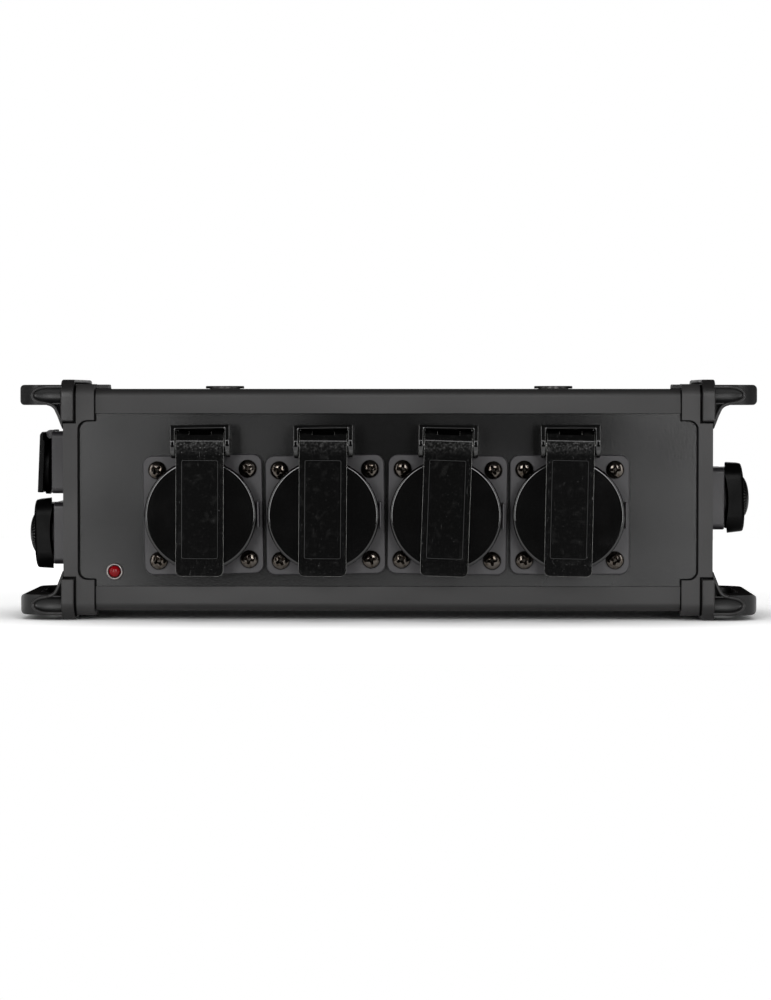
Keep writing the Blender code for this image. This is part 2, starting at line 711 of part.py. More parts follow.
def flange_outline():
    """The socket's square flange with the hinge's back plate standing on it."""
    outline = rounded_box(FLANGE_SIDE, FLANGE_SIDE, FLANGE_RADIUS)
    half = HINGE_WIDTH / 2
    back_plate = [(half, FLANGE_SIDE / 2), (half, HINGE_TOP), (-half, HINGE_TOP), (-half, FLANGE_SIDE / 2)]
    first_corner = CORNER_STEPS + 1
    return outline[:first_corner] + back_plate + outline[first_corner:]


def socket_body():
    """Flange, collar, well and hinge base of one socket, about the flange's middle."""
    shape = prism("Y", flange_outline(), FLANGE_FRONT, FLANGE_BACK)
    cup = rod("Y", COLLAR_RADIUS, COLLAR_FRONT, SOCKET_BACK, sides=ROUND_SIDES)
    behind = FLANGE_FRONT + WELD_IN
    ear = [(behind, HINGE_AXIS_Z - EAR_RADIUS + WELD_IN)]
    ear += arc((HINGE_Y, HINGE_AXIS_Z), EAR_RADIUS, 270, EAR_BACK_ANGLE, EAR_STEPS)
    ear += [(FLANGE_FRONT - HINGE_ROOF_REACH, HINGE_TOP), (behind, HINGE_TOP)]
    base = prism("X", ear, -HINGE_WIDTH / 2, HINGE_WIDTH / 2)
    roof_under = HINGE_TOP - HINGE_ROOF
    room = rounded_box(
        2 * EAR_RADIUS + HINGE_AXIS_OUT * 2,
        FLANGE_SIDE,
        WELD_IN,
        (FLANGE_FRONT - EAR_RADIUS - HINGE_AXIS_OUT, roof_under - FLANGE_SIDE / 2),
    )
    base = cut(base, prism("X", room, -EAR_INSIDE, EAR_INSIDE))
    shape = union(shape, cup, base)
    well = rod("Y", WELL_RADIUS, COLLAR_FRONT - CUT_PAST, WELL_FLOOR, sides=ROUND_SIDES)
    deep = []
    for side in (-1, 1):
        contact = (side * CONTACT_SPREAD / 2, 0.0)
        deep.append(
            rod("Y", CONTACT_HOLE / 2, WELL_FLOOR - CUT_PAST, WELL_FLOOR + CONTACT_DEPTH, contact, SCREW_SIDES)
        )
    for place in screw_places():
        start, stop = FLANGE_FRONT - CUT_PAST, FLANGE_BACK + CUT_PAST
        deep.append(rod("Y", SCREW_CLEARANCE_HOLE / 2, start, stop, place, SCREW_SIDES))
    axis = (HINGE_Y, HINGE_AXIS_Z)
    deep.append(rod("X", PIN_RADIUS + PIN_EAR_GAP, -HINGE_WIDTH, HINGE_WIDTH, axis, SCREW_SIDES))
    return cut(shape, well, together(*deep))


def socket_lid():
    """The lid with its pull strap, which wraps round the hinge pin, leaning a little in its hinge."""
    edge = LID_RADIUS
    disc = turned(
        "Y",
        (
            (0.0, LID_FRONT),
            (edge - LID_CHAMFER, LID_FRONT),
            (edge, LID_FRONT + LID_CHAMFER),
            (edge, LID_FRONT + LID_SKIRT),
            (edge - LID_SKIRT_WALL, LID_FRONT + LID_SKIRT),
            (edge - LID_SKIRT_WALL, LID_BACK),
            (0.0, LID_BACK),
        ),
        ROUND_SIDES,
    )
    pull_back = LID_FRONT + PULL_BACK_IN
    back_from_axis = pull_back - HINGE_Y
    end_angle = math.degrees(math.acos(back_from_axis / BARREL_RADIUS))
    side = [(PULL_FRONT, PULL_BOTTOM)]
    side += arc((HINGE_Y, HINGE_AXIS_Z), BARREL_RADIUS, 180, -end_angle, BARREL_STEPS)
    side += [(pull_back, PULL_BOTTOM)]
    pull = prism("X", side, -PULL_WIDTH / 2, PULL_WIDTH / 2)
    round_bottom_corners(pull)
    slot_half = SPRING_SLOT / 2
    front = HINGE_Y - SPRING_ROOM
    back = HINGE_Y + 2 * BARREL_RADIUS
    low = HINGE_AXIS_Z - SPRING_ROOM
    high = HINGE_AXIS_Z + 2 * BARREL_RADIUS
    slot = prism("X", ((front, low), (back, low), (back, high), (front, high)), -slot_half, slot_half)
    bore = rod("X", PIN_RADIUS + PIN_LID_GAP, -HINGE_WIDTH, HINGE_WIDTH, (HINGE_Y, HINGE_AXIS_Z))
    label = rounded_box(*LABEL_SIZE, WELD_IN, (0.0, LABEL_CENTRE))
    panel = prism("Y", label, PULL_FRONT - CUT_PAST, PULL_FRONT + LABEL_DEPTH)
    shape = cut(union(disc, pull), slot, bore, panel)
    hinge = Matrix.Translation((0.0, HINGE_Y, HINGE_AXIS_Z))
    lean = Matrix.Rotation(math.radians(LID_LEAN_DEG), 4, "Y")
    return moved(shape, lean @ hinge.inverted())


def hinge_pin():
    half = HINGE_WIDTH / 2 - PIN_END_IN
    return rod("X", PIN_RADIUS, -half, half, sides=SCREW_SIDES)


def curve_tube(name, points, radius, detail):
    """A round wire through the points, with closed ends."""
    curve = bpy.data.curves.new(name, "CURVE")
    curve.dimensions = "3D"
    curve.bevel_depth = radius
    curve.bevel_resolution = detail
    curve.use_fill_caps = True
    spline = curve.splines.new("POLY")
    spline.points.add(len(points) - 1)
    for point, place in zip(spline.points, points):
        point.co = (*place, 1.0)
    return curve


def hinge_spring():
    """A torsion spring round the pin, with one leg to the hinge's back plate."""
    count = SPRING_TURNS * SPRING_POINTS_PER_TURN
    points = []
    for k in range(count + 1):
        angle = math.radians(90) - 2 * math.pi * SPRING_TURNS * (1 - k / count)
        points.append(
            (
                SPRING_WIDTH * (k / count - 0.5),
                SPRING_MEAN_RADIUS * math.cos(angle),
                SPRING_MEAN_RADIUS * math.sin(angle),
            )
        )
    leg_end = FLANGE_FRONT - HINGE_Y - SEAT_GAP
    points.append((SPRING_WIDTH / 2, leg_end, SPRING_MEAN_RADIUS))
    return curve_tube("hinge_spring", points, SPRING_WIRE_RADIUS, THIN_WIRE_DETAIL)


def flange_screw():
    """A pan-head screw with a cross recess, about its own axis."""
    seat = FLANGE_FRONT - SEAT_GAP
    front = seat - SCREW_HEAD_HEIGHT
    profile = (
        (0.0, front),
        (SCREW_HEAD_FLAT / 2, front),
        (SCREW_HEAD / 2, front + SCREW_HEAD_CROWN),
        (SCREW_HEAD / 2, seat),
        (SCREW_SHANK / 2, seat),
        (SCREW_SHANK / 2, seat + SCREW_LENGTH),
        (0.0, seat + SCREW_LENGTH),
    )
    long, wide, deep = SCREW_CROSS
    arm, half = long / 2, wide / 2
    cross = []
    for quarter in range(4):
        turn = Matrix.Rotation(math.radians(90 * quarter), 2)
        for corner in ((arm, -half), (arm, half), (half, half)):
            cross.append(tuple(turn @ Vector(corner)))
    return cut(turned("Y", profile, SCREW_SIDES), prism("Y", cross, front - CUT_PAST, front + deep))


def connector_body(along, across):
    """A side connector in its own axes: X outwards from the frame's face, Y along the hinge, Z to the hinge."""
    back = -END_PANEL_RECESS + SEAT_GAP
    flange = prism("X", rounded_box(along, across, CONNECTOR_FLANGE_RADIUS), back, CONNECTOR_FLANGE_OUT)
    collar = rod(
        "X", CONNECTOR_COLLAR_RADIUS, CONNECTOR_FLANGE_OUT - WELD_IN, CONNECTOR_COLLAR_OUT, sides=ROUND_SIDES
    )
    barrel = rod("X", CONNECTOR_BARREL_RADIUS, -CONNECTOR_INSIDE, back + WELD_IN, sides=ROUND_SIDES)
    axis = (CAP_AXIS_OUT, cap_axis_place(across))
    ear_start = CONNECTOR_FLANGE_OUT - WELD_IN
    profile = [(ear_start, axis[1] - CAP_EAR_RADIUS)]
    profile += arc(axis, CAP_EAR_RADIUS, -90, 90, CURVE_STEPS)
    profile += [(ear_start, axis[1] + CAP_EAR_RADIUS)]
    ears = []
    inner = CAP_KNUCKLE_WIDTH / 2 + CAP_KNUCKLE_SIDE_GAP
    for side in (-1, 1):
        ears.append(prism("Y", profile, side * inner, side * (inner + CAP_EAR_WIDTH)))
    shape = union(flange, collar, barrel, together(*ears))
    mouth_floor = CONNECTOR_COLLAR_OUT - CONNECTOR_MOUTH_DEPTH
    mouth = rod("X", CONNECTOR_MOUTH_RADIUS, mouth_floor, CONNECTOR_COLLAR_OUT + CUT_PAST, sides=FITTING_SIDES)
    bore = rod("Y", CAP_PIN_RADIUS + CAP_PIN_GAP, -along, along, axis, SCREW_SIDES)
    return cut(shape, mouth, bore)


def cap_axis_place(across):
    """How far a cap's hinge axis lies from the connector's middle."""
    return across / 2 - CAP_AXIS_EDGE


def knuckle(across, inner_edge, back, front):
    """The cap's knuckle round its pin, reaching to the cap's edge."""
    axis = (CAP_AXIS_OUT, cap_axis_place(across))
    low = max(back, CAP_AXIS_OUT - CAP_KNUCKLE_RADIUS)
    high = min(front, CAP_AXIS_OUT + CAP_KNUCKLE_RADIUS)
    outline = [(low, inner_edge), (high, inner_edge)]
    outline += arc(axis, CAP_KNUCKLE_RADIUS, 0, 180, CURVE_STEPS)
    half = CAP_KNUCKLE_WIDTH / 2
    return prism("Y", outline, -half, half)


def pin_hole(across):
    axis = (CAP_AXIS_OUT, cap_axis_place(across))
    return rod("Y", CAP_PIN_RADIUS + CAP_PIN_GAP, -CAP_KNUCKLE_WIDTH, CAP_KNUCKLE_WIDTH, axis, SCREW_SIDES)


def about_cap_axis(shape, across, lean_deg=0.0):
    """Puts a cap's hinge axis at the origin, after leaning the cap open about it."""
    away = Matrix.Translation((-CAP_AXIS_OUT, 0.0, -cap_axis_place(across)))
    return moved(shape, Matrix.Rotation(-math.radians(lean_deg), 4, "Y") @ away)


def flap_cap(along, across):
    """The flat flap of the upper inlet, a plate that hangs from its hinge."""
    top = cap_axis_place(across) - CAP_EAR_RADIUS - CAP_HINGE_GAP
    bottom = -across / 2 - FLAP_OVERHANG
    outline = rounded_box(
        along + 2 * FLAP_OVERHANG, top - bottom, FLAP_RADIUS, (0.0, (top + bottom) / 2)
    )
    front = FLAP_BACK + FLAP_THICKNESS
    plate = prism("X", outline, FLAP_BACK, front)
    arm = [(FLAP_BACK + WELD_IN, top - 2 * WELD_IN), (front - WELD_IN, top - 2 * WELD_IN)]
    arm += arc((CAP_AXIS_OUT, cap_axis_place(across)), CAP_KNUCKLE_RADIUS, 30, 270, CURVE_STEPS)
    half = CAP_KNUCKLE_WIDTH / 2
    shape = union(plate, prism("Y", arm, -half, half))
    return about_cap_axis(cut(shape, pin_hole(across)), across, FLAP_LEAN_DEG)


def domed_cap(along, across):
    """A thick bevelled cap with a dome, hollow over the connector's collar."""
    top = cap_axis_place(across) - CAP_EAR_RADIUS - CAP_HINGE_GAP
    bottom = -across / 2
    width = along + 2 * CAP_OVERHANG
    middle = (0.0, (top + bottom) / 2)
    front = CAP_BACK + CAP_THICKNESS
    full = rounded_box(width, top - bottom, CAP_RADIUS, middle)
    small = rounded_box(width - 2 * CAP_CHAMFER, top - bottom - 2 * CAP_CHAMFER, CAP_RADIUS, middle)
    block = loft("X", ((CAP_BACK, full), (front - CAP_CHAMFER, full), (front, small)))
    dome = dome_profile(DOME_RADIUS, front, DOME_HEIGHT)
    dome += [(DOME_RADIUS, front - WELD_IN), (0.0, front - WELD_IN)]
    cavity = rod("X", CAP_CAVITY_RADIUS, CAP_BACK - CUT_PAST, CAP_CAVITY_OUT, sides=ROUND_SIDES)
    arm = knuckle(across, top - WELD_IN, CAP_BACK, front - CAP_CHAMFER)
    shape = union(block, turned("X", dome, FITTING_SIDES), arm)
    return about_cap_axis(cut(shape, cavity, pin_hole(across)), across)


def cap_pin():
    half = CAP_KNUCKLE_WIDTH / 2 + CAP_KNUCKLE_SIDE_GAP + CAP_EAR_WIDTH - SEAT_GAP
    return rod("Y", CAP_PIN_RADIUS, -half, half, sides=SCREW_SIDES)


def smooth_route(points):
    """A Catmull-Rom curve through the points."""
    places = [Vector(point) for point in points]
    places = [2 * places[0] - places[1], *places, 2 * places[-1] - places[-2]]
    route = []
    for a, b, c, d in zip(places, places[1:], places[2:], places[3:]):
        for step in range(ROUTE_STEPS):
            t = step / ROUTE_STEPS
            bend = (2 * a - 5 * b + 4 * c - d) * t**2 + (3 * b - a - 3 * c + d) * t**3
            route.append(0.5 * (2 * b + (c - a) * t + bend))
    route.append(places[-2])
    return route


def core_route(name):
    """One lead's way from the upper inlet, behind the sockets, to the outlet."""
    start = FRAME_FACE - CONNECTOR_INSIDE - FIT_GAP
    behind = SOCKET_BACK + FIT_GAP + CORE_RADIUS
    level = SOCKET_ROW_Z + CORE_LEVELS[name]
    offset_y, offset_z = {
        "live": (-CORE_OFFSET, CORE_OFFSET),
        "neutral": (-CORE_OFFSET, -CORE_OFFSET),
        "earth": (CORE_OFFSET, 0.0),
    }[name]
    first, last = socket_places()[0], socket_places()[-1]
    inlet_z = UPPER_INLET_Z + offset_z
    outlet_z = OUTLET_Z + offset_z
    route = [(-start, offset_y, inlet_z), (-start + CORE_STRAIGHT, offset_y, inlet_z)]
    if name == "earth":
        stud_y = -EXTRUSION_FRONT - WALL - STUD_LENGTH + CORE_RADIUS
        over_stud = STUD_Z + STUD_RADIUS + FIT_GAP + CORE_RADIUS
        turn_x, turn_y, turn_z = EARTH_TURN
        leave_x, leave_y = EARTH_LEAVE
        route += [
            (-start + turn_x, (offset_y + stud_y) / 2 + turn_y, (inlet_z + over_stud) / 2 + turn_z),
            (STUD_X, stud_y, over_stud),
            (STUD_X + leave_x, (behind + stud_y) / 2 + leave_y, level),
        ]
    else:
        route.append((-start + CORE_TURN, (offset_y + behind) / 2, (inlet_z + level) / 2))
    settle_x, settle_y = CORE_SETTLE
    route += [(first - settle_x, behind + settle_y, level), (first + settle_y, behind, level)]
    route += [(x, behind, level) for x in socket_places()[1:]]
    route += [
        (last + CORE_RETURN, (behind + offset_y) / 2, (level + outlet_z) / 2),
        (start - CORE_STRAIGHT, offset_y, outlet_z),
        (start, offset_y, outlet_z),
    ]
    return smooth_route(route)


def link_route():
    """The short cable between the two left connectors."""
    start = -(FRAME_FACE - CONNECTOR_INSIDE - FIT_GAP)
    low = LOWER_INLET_Z
    high = UPPER_INLET_Z - LINK_TOP
    return smooth_route(
        (
            (start, CORE_OFFSET, low),
            (start + LINK_BULGE / 2, CORE_OFFSET, low + LINK_RISE),
            (start + LINK_BULGE, CORE_OFFSET, (low + high) / 2),
            (start + LINK_BULGE / 2, CORE_OFFSET, high - LINK_RISE),
            (start, CORE_OFFSET, high),
        )
    )


def earth_stud():
    """A threaded stud with its nut, standing on the rear wall's inside."""
    wall = -EXTRUSION_FRONT - WALL - SEAT_GAP
    place = (STUD_X, STUD_Z)
    stud = rod("Y", STUD_RADIUS, wall - STUD_LENGTH, wall, place, SCREW_SIDES)
    across, tall = STUD_NUT
    nut = rod("Y", across / math.cos(math.pi / NUT_SIDES), wall - 2 * tall, wall - tall, place, NUT_SIDES)
    return union(stud, nut)


def add_housing(box, materials):
    aluminium = materials["coated_aluminium"]
    make_node("housing_extrusion", finished_mesh("housing", housing_extrusion()), aluminium, box)
    panel = finished_mesh("front_panel", front_panel())
    make_node("front_panel", panel, materials["textured_coat"], box)
    levels = {"left": (UPPER_INLET_Z, LOWER_INLET_Z), "right": (OUTLET_Z,)}
    for name, side in (("left", LEFT), ("right", RIGHT)):
        frame = finished_mesh("end_frame", end_frame(side))
        make_node(f"end_frame_{name}", frame, materials["cast_metal"], box)
        plate = finished_mesh("end_panel", end_panel(side, levels[name]))
        make_node(f"end_panel_{name}", plate, materials["textured_coat"], box)
    base = bumper()
    for side_name, side in (("left", LEFT), ("right", RIGHT)):
        for level_name, level in (("upper", 1), ("lower", -1)):
            shape = moved(base, Matrix.Diagonal((side, 1, level, 1)))
            mesh = finished_mesh("bumper", shape)
            make_node(f"bumper_{side_name}_{level_name}", mesh, materials["moulded_black"], box)
    base.free()


def add_fittings(box, materials):
    insert = finished_mesh("clamp_insert", clamp_insert())
    for name, x in zip(("left", "right"), insert_places()):
        place = Matrix.Translation((x, 0.0, EXTRUSION_HEIGHT / 2))
        make_node(f"clamp_insert_{name}", insert, materials["black_steel"], box, place)
    lamp = Matrix.Translation((LAMP_X, 0.0, LAMP_Z))
    make_node("indicator_lens", finished_mesh("lens", lamp_lens()), materials["red_lens"], box, lamp)
    make_node("indicator_bezel", finished_mesh("bezel", lamp_bezel()), materials["bright_ring"], box, lamp)


def add_sockets(box, materials):
    body = finished_mesh("socket_body", socket_body())
    lid = finished_mesh("socket_lid", socket_lid())
    pin = finished_mesh("hinge_pin", hinge_pin())
    spring = hinge_spring()
    screw = finished_mesh("flange_screw", flange_screw())
    hinge_place = Matrix.Translation((0.0, HINGE_Y, HINGE_AXIS_Z))
    for k in range(len(SOCKET_TWIST_DEG)):
        number = k + 1
        socket = make_empty(f"socket_{number}_middle", box, socket_matrix(k))
        hinge = make_empty(f"socket_{number}_hinge", socket, hinge_place)
        make_node(f"socket_{number}_body", body, materials["grey_thermoplastic"], socket)
        make_node(f"socket_{number}_lid", lid, materials["gloss_black"], hinge)
        make_node(f"socket_{number}_hinge_pin", pin, materials["steel"], hinge)
        make_node(f"socket_{number}_hinge_spring", spring, materials["steel"], hinge)
        for index, (x, z) in enumerate(screw_places()):
            place = Matrix.Translation((x, 0.0, z))
            name = f"socket_{number}_screw_{index + 1}"
            make_node(name, screw, materials["screw_metal"], socket, place)


def connector_matrix(side, level, hinge_up):
    """From a connector's own axes to the box's: its hinge is at the top, or at the rear."""
    outwards = Vector((side, 0.0, 0.0))
    along = Vector((0.0, 1.0, 0.0)) if hinge_up else Vector((0.0, 0.0, 1.0))
    to_hinge = Vector((0.0, 0.0, 1.0)) if hinge_up else Vector((0.0, 1.0, 0.0))
    matrix = Matrix((outwards, along, to_hinge)).transposed().to_4x4()
    return Matrix.Translation((side * FRAME_FACE, 0.0, level)) @ matrix


def add_connectors(box, materials):
    places = (
        ("upper_inlet", LEFT, UPPER_INLET_Z, True),
        ("lower_inlet", LEFT, LOWER_INLET_Z, False),
        ("outlet", RIGHT, OUTLET_Z, False),
    )
    pin = cap_pin()
    for name, side, level, is_flap in places:
        along, across = (CONNECTOR_LONG, CONNECTOR_SHORT) if is_flap else (CONNECTOR_SHORT, CONNECTOR_LONG)
        body = connector_body(along, across)
        cap = flap_cap(along, across) if is_flap else domed_cap(along, across)
        matrix = connector_matrix(side, level, is_flap)
        turn = matrix.to_3x3().to_4x4()
        hinge_place = matrix @ Vector((CAP_AXIS_OUT, 0.0, cap_axis_place(across)))
        hinge = make_empty(f"{name}_hinge", box, Matrix.Translation(hinge_place))
        middle = make_empty(f"{name}_middle", box, Matrix.Translation(matrix.translation))
        body_mesh = finished_mesh("connector_body", moved(body, turn))
        make_node(f"{name}_body", body_mesh, materials["grey_thermoplastic"], middle)
        cap_mesh = finished_mesh("connector_cap", moved(cap, turn))
        make_node(f"{name}_cap", cap_mesh, materials["moulded_black"], hinge)
        make_node(f"{name}_cap_pin", finished_mesh("cap_pin", moved(pin, turn)), materials["steel"], hinge)
        body.free()
        cap.free()
    pin.free()


def add_wiring(box, materials):
    colours = {"live": "brown_core", "neutral": "blue_core", "earth": "green_core"}
    for name, colour in colours.items():
        curve = curve_tube(f"{name}_lead", core_route(name), CORE_RADIUS, THIN_WIRE_DETAIL)
        make_node(f"{name}_lead", curve, materials[colour], box)
    link = curve_tube("link_cable", link_route(), LINK_RADIUS, CABLE_DETAIL)
    make_node("link_cable", link, materials["moulded_black"], box)
    make_node("earth_stud", finished_mesh("earth_stud", earth_stud()), materials["steel"], box)


def clear_scene():
    for obj in list(bpy.data.objects):
        bpy.data.objects.remove(obj)


def main():
    clear_scene()
    materials = {
        "coated_aluminium": make_material("coated_aluminium", (0.045, 0.045, 0.048), 0.45, 0.3),
        "textured_coat": make_material("textured_coat", (0.03, 0.03, 0.032), 0.7),
        "cast_metal": make_material("cast_metal", (0.05, 0.05, 0.053), 0.55, 0.2),
        "moulded_black": make_material("moulded_black", (0.02, 0.02, 0.022), 0.5),
        "black_steel": make_material("black_steel", (0.03, 0.03, 0.03), 0.4, 0.8),
        "red_lens": make_material("red_lens", (0.45, 0.01, 0.01), 0.15),
        "bright_ring": make_material("bright_ring", (0.6, 0.6, 0.6), 0.25, 1.0),
        "grey_thermoplastic": make_material("grey_thermoplastic", (0.08, 0.08, 0.087), 0.5),
        "gloss_black": make_material("gloss_black", (0.004, 0.004, 0.004), 0.12),
        "steel": make_material("steel", (0.5, 0.5, 0.5), 0.35, 1.0),
        "screw_metal": make_material("screw_metal", (0.25, 0.2, 0.16), 0.25, 1.0),
        "brown_core": make_material("brown_core", (0.15, 0.05, 0.02), 0.5),
        "blue_core": make_material("blue_core", (0.02, 0.08, 0.4), 0.5),
        "green_core": make_material("green_core", (0.1, 0.35, 0.03), 0.5),
    }
    box = make_empty("box_middle", matrix=Matrix.Translation(BOX_CENTRE))
    add_housing(box, materials)
    add_fittings(box, materials)
    add_sockets(box, materials)
    add_connectors(box, materials)
    add_wiring(box, materials)


main()
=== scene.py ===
"""Dresses the power splitter box: fine edges, mouldings, screws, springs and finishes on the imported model."""

import logging
import math
import random
from dataclasses import dataclass, field
from enum import Enum
from typing import Any, ClassVar, Iterable, Sequence

import bmesh
import bpy
from mathutils import Matrix, Vector


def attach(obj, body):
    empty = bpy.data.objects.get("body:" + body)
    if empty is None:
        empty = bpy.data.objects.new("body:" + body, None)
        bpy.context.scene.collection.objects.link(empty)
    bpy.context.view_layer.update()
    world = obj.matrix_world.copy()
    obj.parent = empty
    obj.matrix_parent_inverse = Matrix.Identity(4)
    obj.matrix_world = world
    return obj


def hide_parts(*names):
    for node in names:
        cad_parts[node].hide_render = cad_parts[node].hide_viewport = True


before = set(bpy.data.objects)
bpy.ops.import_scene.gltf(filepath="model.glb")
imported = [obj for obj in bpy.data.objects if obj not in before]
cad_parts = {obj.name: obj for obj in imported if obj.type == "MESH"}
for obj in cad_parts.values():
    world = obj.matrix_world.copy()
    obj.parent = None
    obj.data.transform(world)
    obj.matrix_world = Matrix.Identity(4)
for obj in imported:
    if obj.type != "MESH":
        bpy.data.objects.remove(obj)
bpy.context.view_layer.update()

Pair = tuple[float, float]
Triple = tuple[float, float, float]
Outline = list[Pair]
Line = list[Vector]
Tree = bpy.types.NodeTree
Signal = bpy.types.NodeSocket

LOG = logging.getLogger("splitter")
ROOT = "box"
MM = 0.001
PAST = 1.0
BOX_MIDDLE = Matrix.Translation((0.0, 5.975, 50.6))
BOX_HEIGHT = 101.2
BOX_DEPTH = 80.1
FACE = 136.25
STRAP_WIDTH = 4.6
STRAP_LEG = 17.6
RIGHT = Matrix()
LEFT = Matrix.Diagonal((-1.0, 1.0, 1.0, 1.0))
FLIP = Matrix.Diagonal((1.0, 1.0, -1.0, 1.0))

NOISE = "ShaderNodeTexNoise"
RANGE = "ShaderNodeMapRange"
MATH = "ShaderNodeMath"
PARTS = "ShaderNodeSeparateXYZ"
PLACE = "ShaderNodeTexCoord"


class Axis(Enum):
    """The axis that an outline lies across."""

    X = "X"
    Y = "Y"
    Z = "Z"

    def point(self, along: float, u: float, v: float) -> Triple:
        """A point that far along the axis, and at u and v across it."""
        return {"X": (along, u, v), "Y": (u, along, v), "Z": (u, v, along)}[self.value]


class Join(Enum):
    """How two closed shapes are combined."""

    DIFFERENCE = "DIFFERENCE"
    INTERSECT = "INTERSECT"


class CapKind(Enum):
    """The two kinds of cap on the side connectors."""

    FLAP = "flap"
    DOME = "dome"


def add_node(tree: Tree, kind: str, inputs: Any = (), out: Any = 0, **settings: Any) -> Signal:
    """Adds a node with its settings and links.

    Args:
        tree: The node tree.
        kind: The node's Blender type.
        inputs: Its inputs, in order or by name or number; a socket is linked, anything else is a value.
        out: The output that is wanted.
        settings: Its properties.

    Returns:
        That output.
    """
    made = tree.nodes.new(kind)
    for name, value in settings.items():
        setattr(made, name, value)
    for name, value in inputs.items() if isinstance(inputs, dict) else enumerate(inputs):
        if isinstance(value, Signal):
            tree.links.new(value, made.inputs[name])
        else:
            made.inputs[name].default_value = value
    return made.outputs[out]


def spots(tree: Tree, place: Signal, size_mm: float, detail: float, *limits: float) -> Signal:
    """Spots of a real size: noise between two levels, turned to a range from and to two others."""
    noise = add_node(tree, NOISE, {"Vector": place, "Scale": 1 / size_mm, "Detail": detail})
    return add_node(tree, RANGE, (noise, *limits))


def linear(hex_colour: str, factor: float = 1.0) -> tuple[float, float, float, float]:
    """Turns an sRGB hex colour to linear, made lighter or darker by a factor, with an alpha of 1."""
    shares = [int(hex_colour[start : start + 2], 16) / 255 for start in (1, 3, 5)]
    return (*(factor * (s / 12.92 if s <= 0.04045 else ((s + 0.055) / 1.055) ** 2.4) for s in shares), 1.0)


def arc(centre: Pair, radius: float, start_deg: float, end_deg: float, steps: int) -> Outline:
    """Points on a circle's arc, both ends among them, that many chords apart."""
    angles = [math.radians(start_deg + (end_deg - start_deg) * k / steps) for k in range(steps + 1)]
    return [(centre[0] + radius * math.cos(a), centre[1] + radius * math.sin(a)) for a in angles]


def rounded(width: float, height: float, radius: float, centre: Pair = (0.0, 0.0), steps: int = 8) -> Outline:
    """A rectangle with rounded corners, anticlockwise.

    Args:
        width: Size along the first coordinate.
        height: Size along the second.
        radius: Corner radius.
        centre: Its middle.
        steps: Chords in each corner.

    Returns:
        The outline.
    """
    points: Outline = []
    for quarter, (side, level) in enumerate(((1, 1), (-1, 1), (-1, -1), (1, -1))):
        middle = (centre[0] + side * (width / 2 - radius), centre[1] + level * (height / 2 - radius))
        points += arc(middle, radius, 90 * quarter, 90 * quarter + 90, steps)
    return points


def arch(width: float, height: float, radius: float, steps: int = 10) -> Outline:
    """The upper half of a rectangle with rounded corners, from its right side to its left."""
    return [point for point in rounded(width, height, radius, steps=steps) if point[1] > 0]


def bar(near: float, far: float, low: float, high: float) -> Outline:
    """A plain rectangle between two places along each coordinate."""
    return [(near, low), (far, low), (far, high), (near, high)]


def fan(centre: Pair, radius: float, rise: float, turn: float, steps: int) -> Outline:
    """Points on an ellipse from its top outwards, each a turn on from the last."""
    angles = [turn * k for k in range(steps + 1)]
    return [(centre[0] + radius * math.sin(a), centre[1] + rise * math.cos(a)) for a in angles]


def placed(name: str, data: bpy.types.ID) -> bpy.types.Object:
    """A new object in the scene, at the origin.

    Args:
        name: Its name.
        data: What it holds.

    Returns:
        The object.
    """
    obj = bpy.data.objects.new(name, data)
    bpy.context.scene.collection.objects.link(obj)
    return obj


def evaluated(obj: bpy.types.Object) -> bpy.types.Object:
    """The object with its modifiers applied."""
    return obj.evaluated_get(bpy.context.evaluated_depsgraph_get())


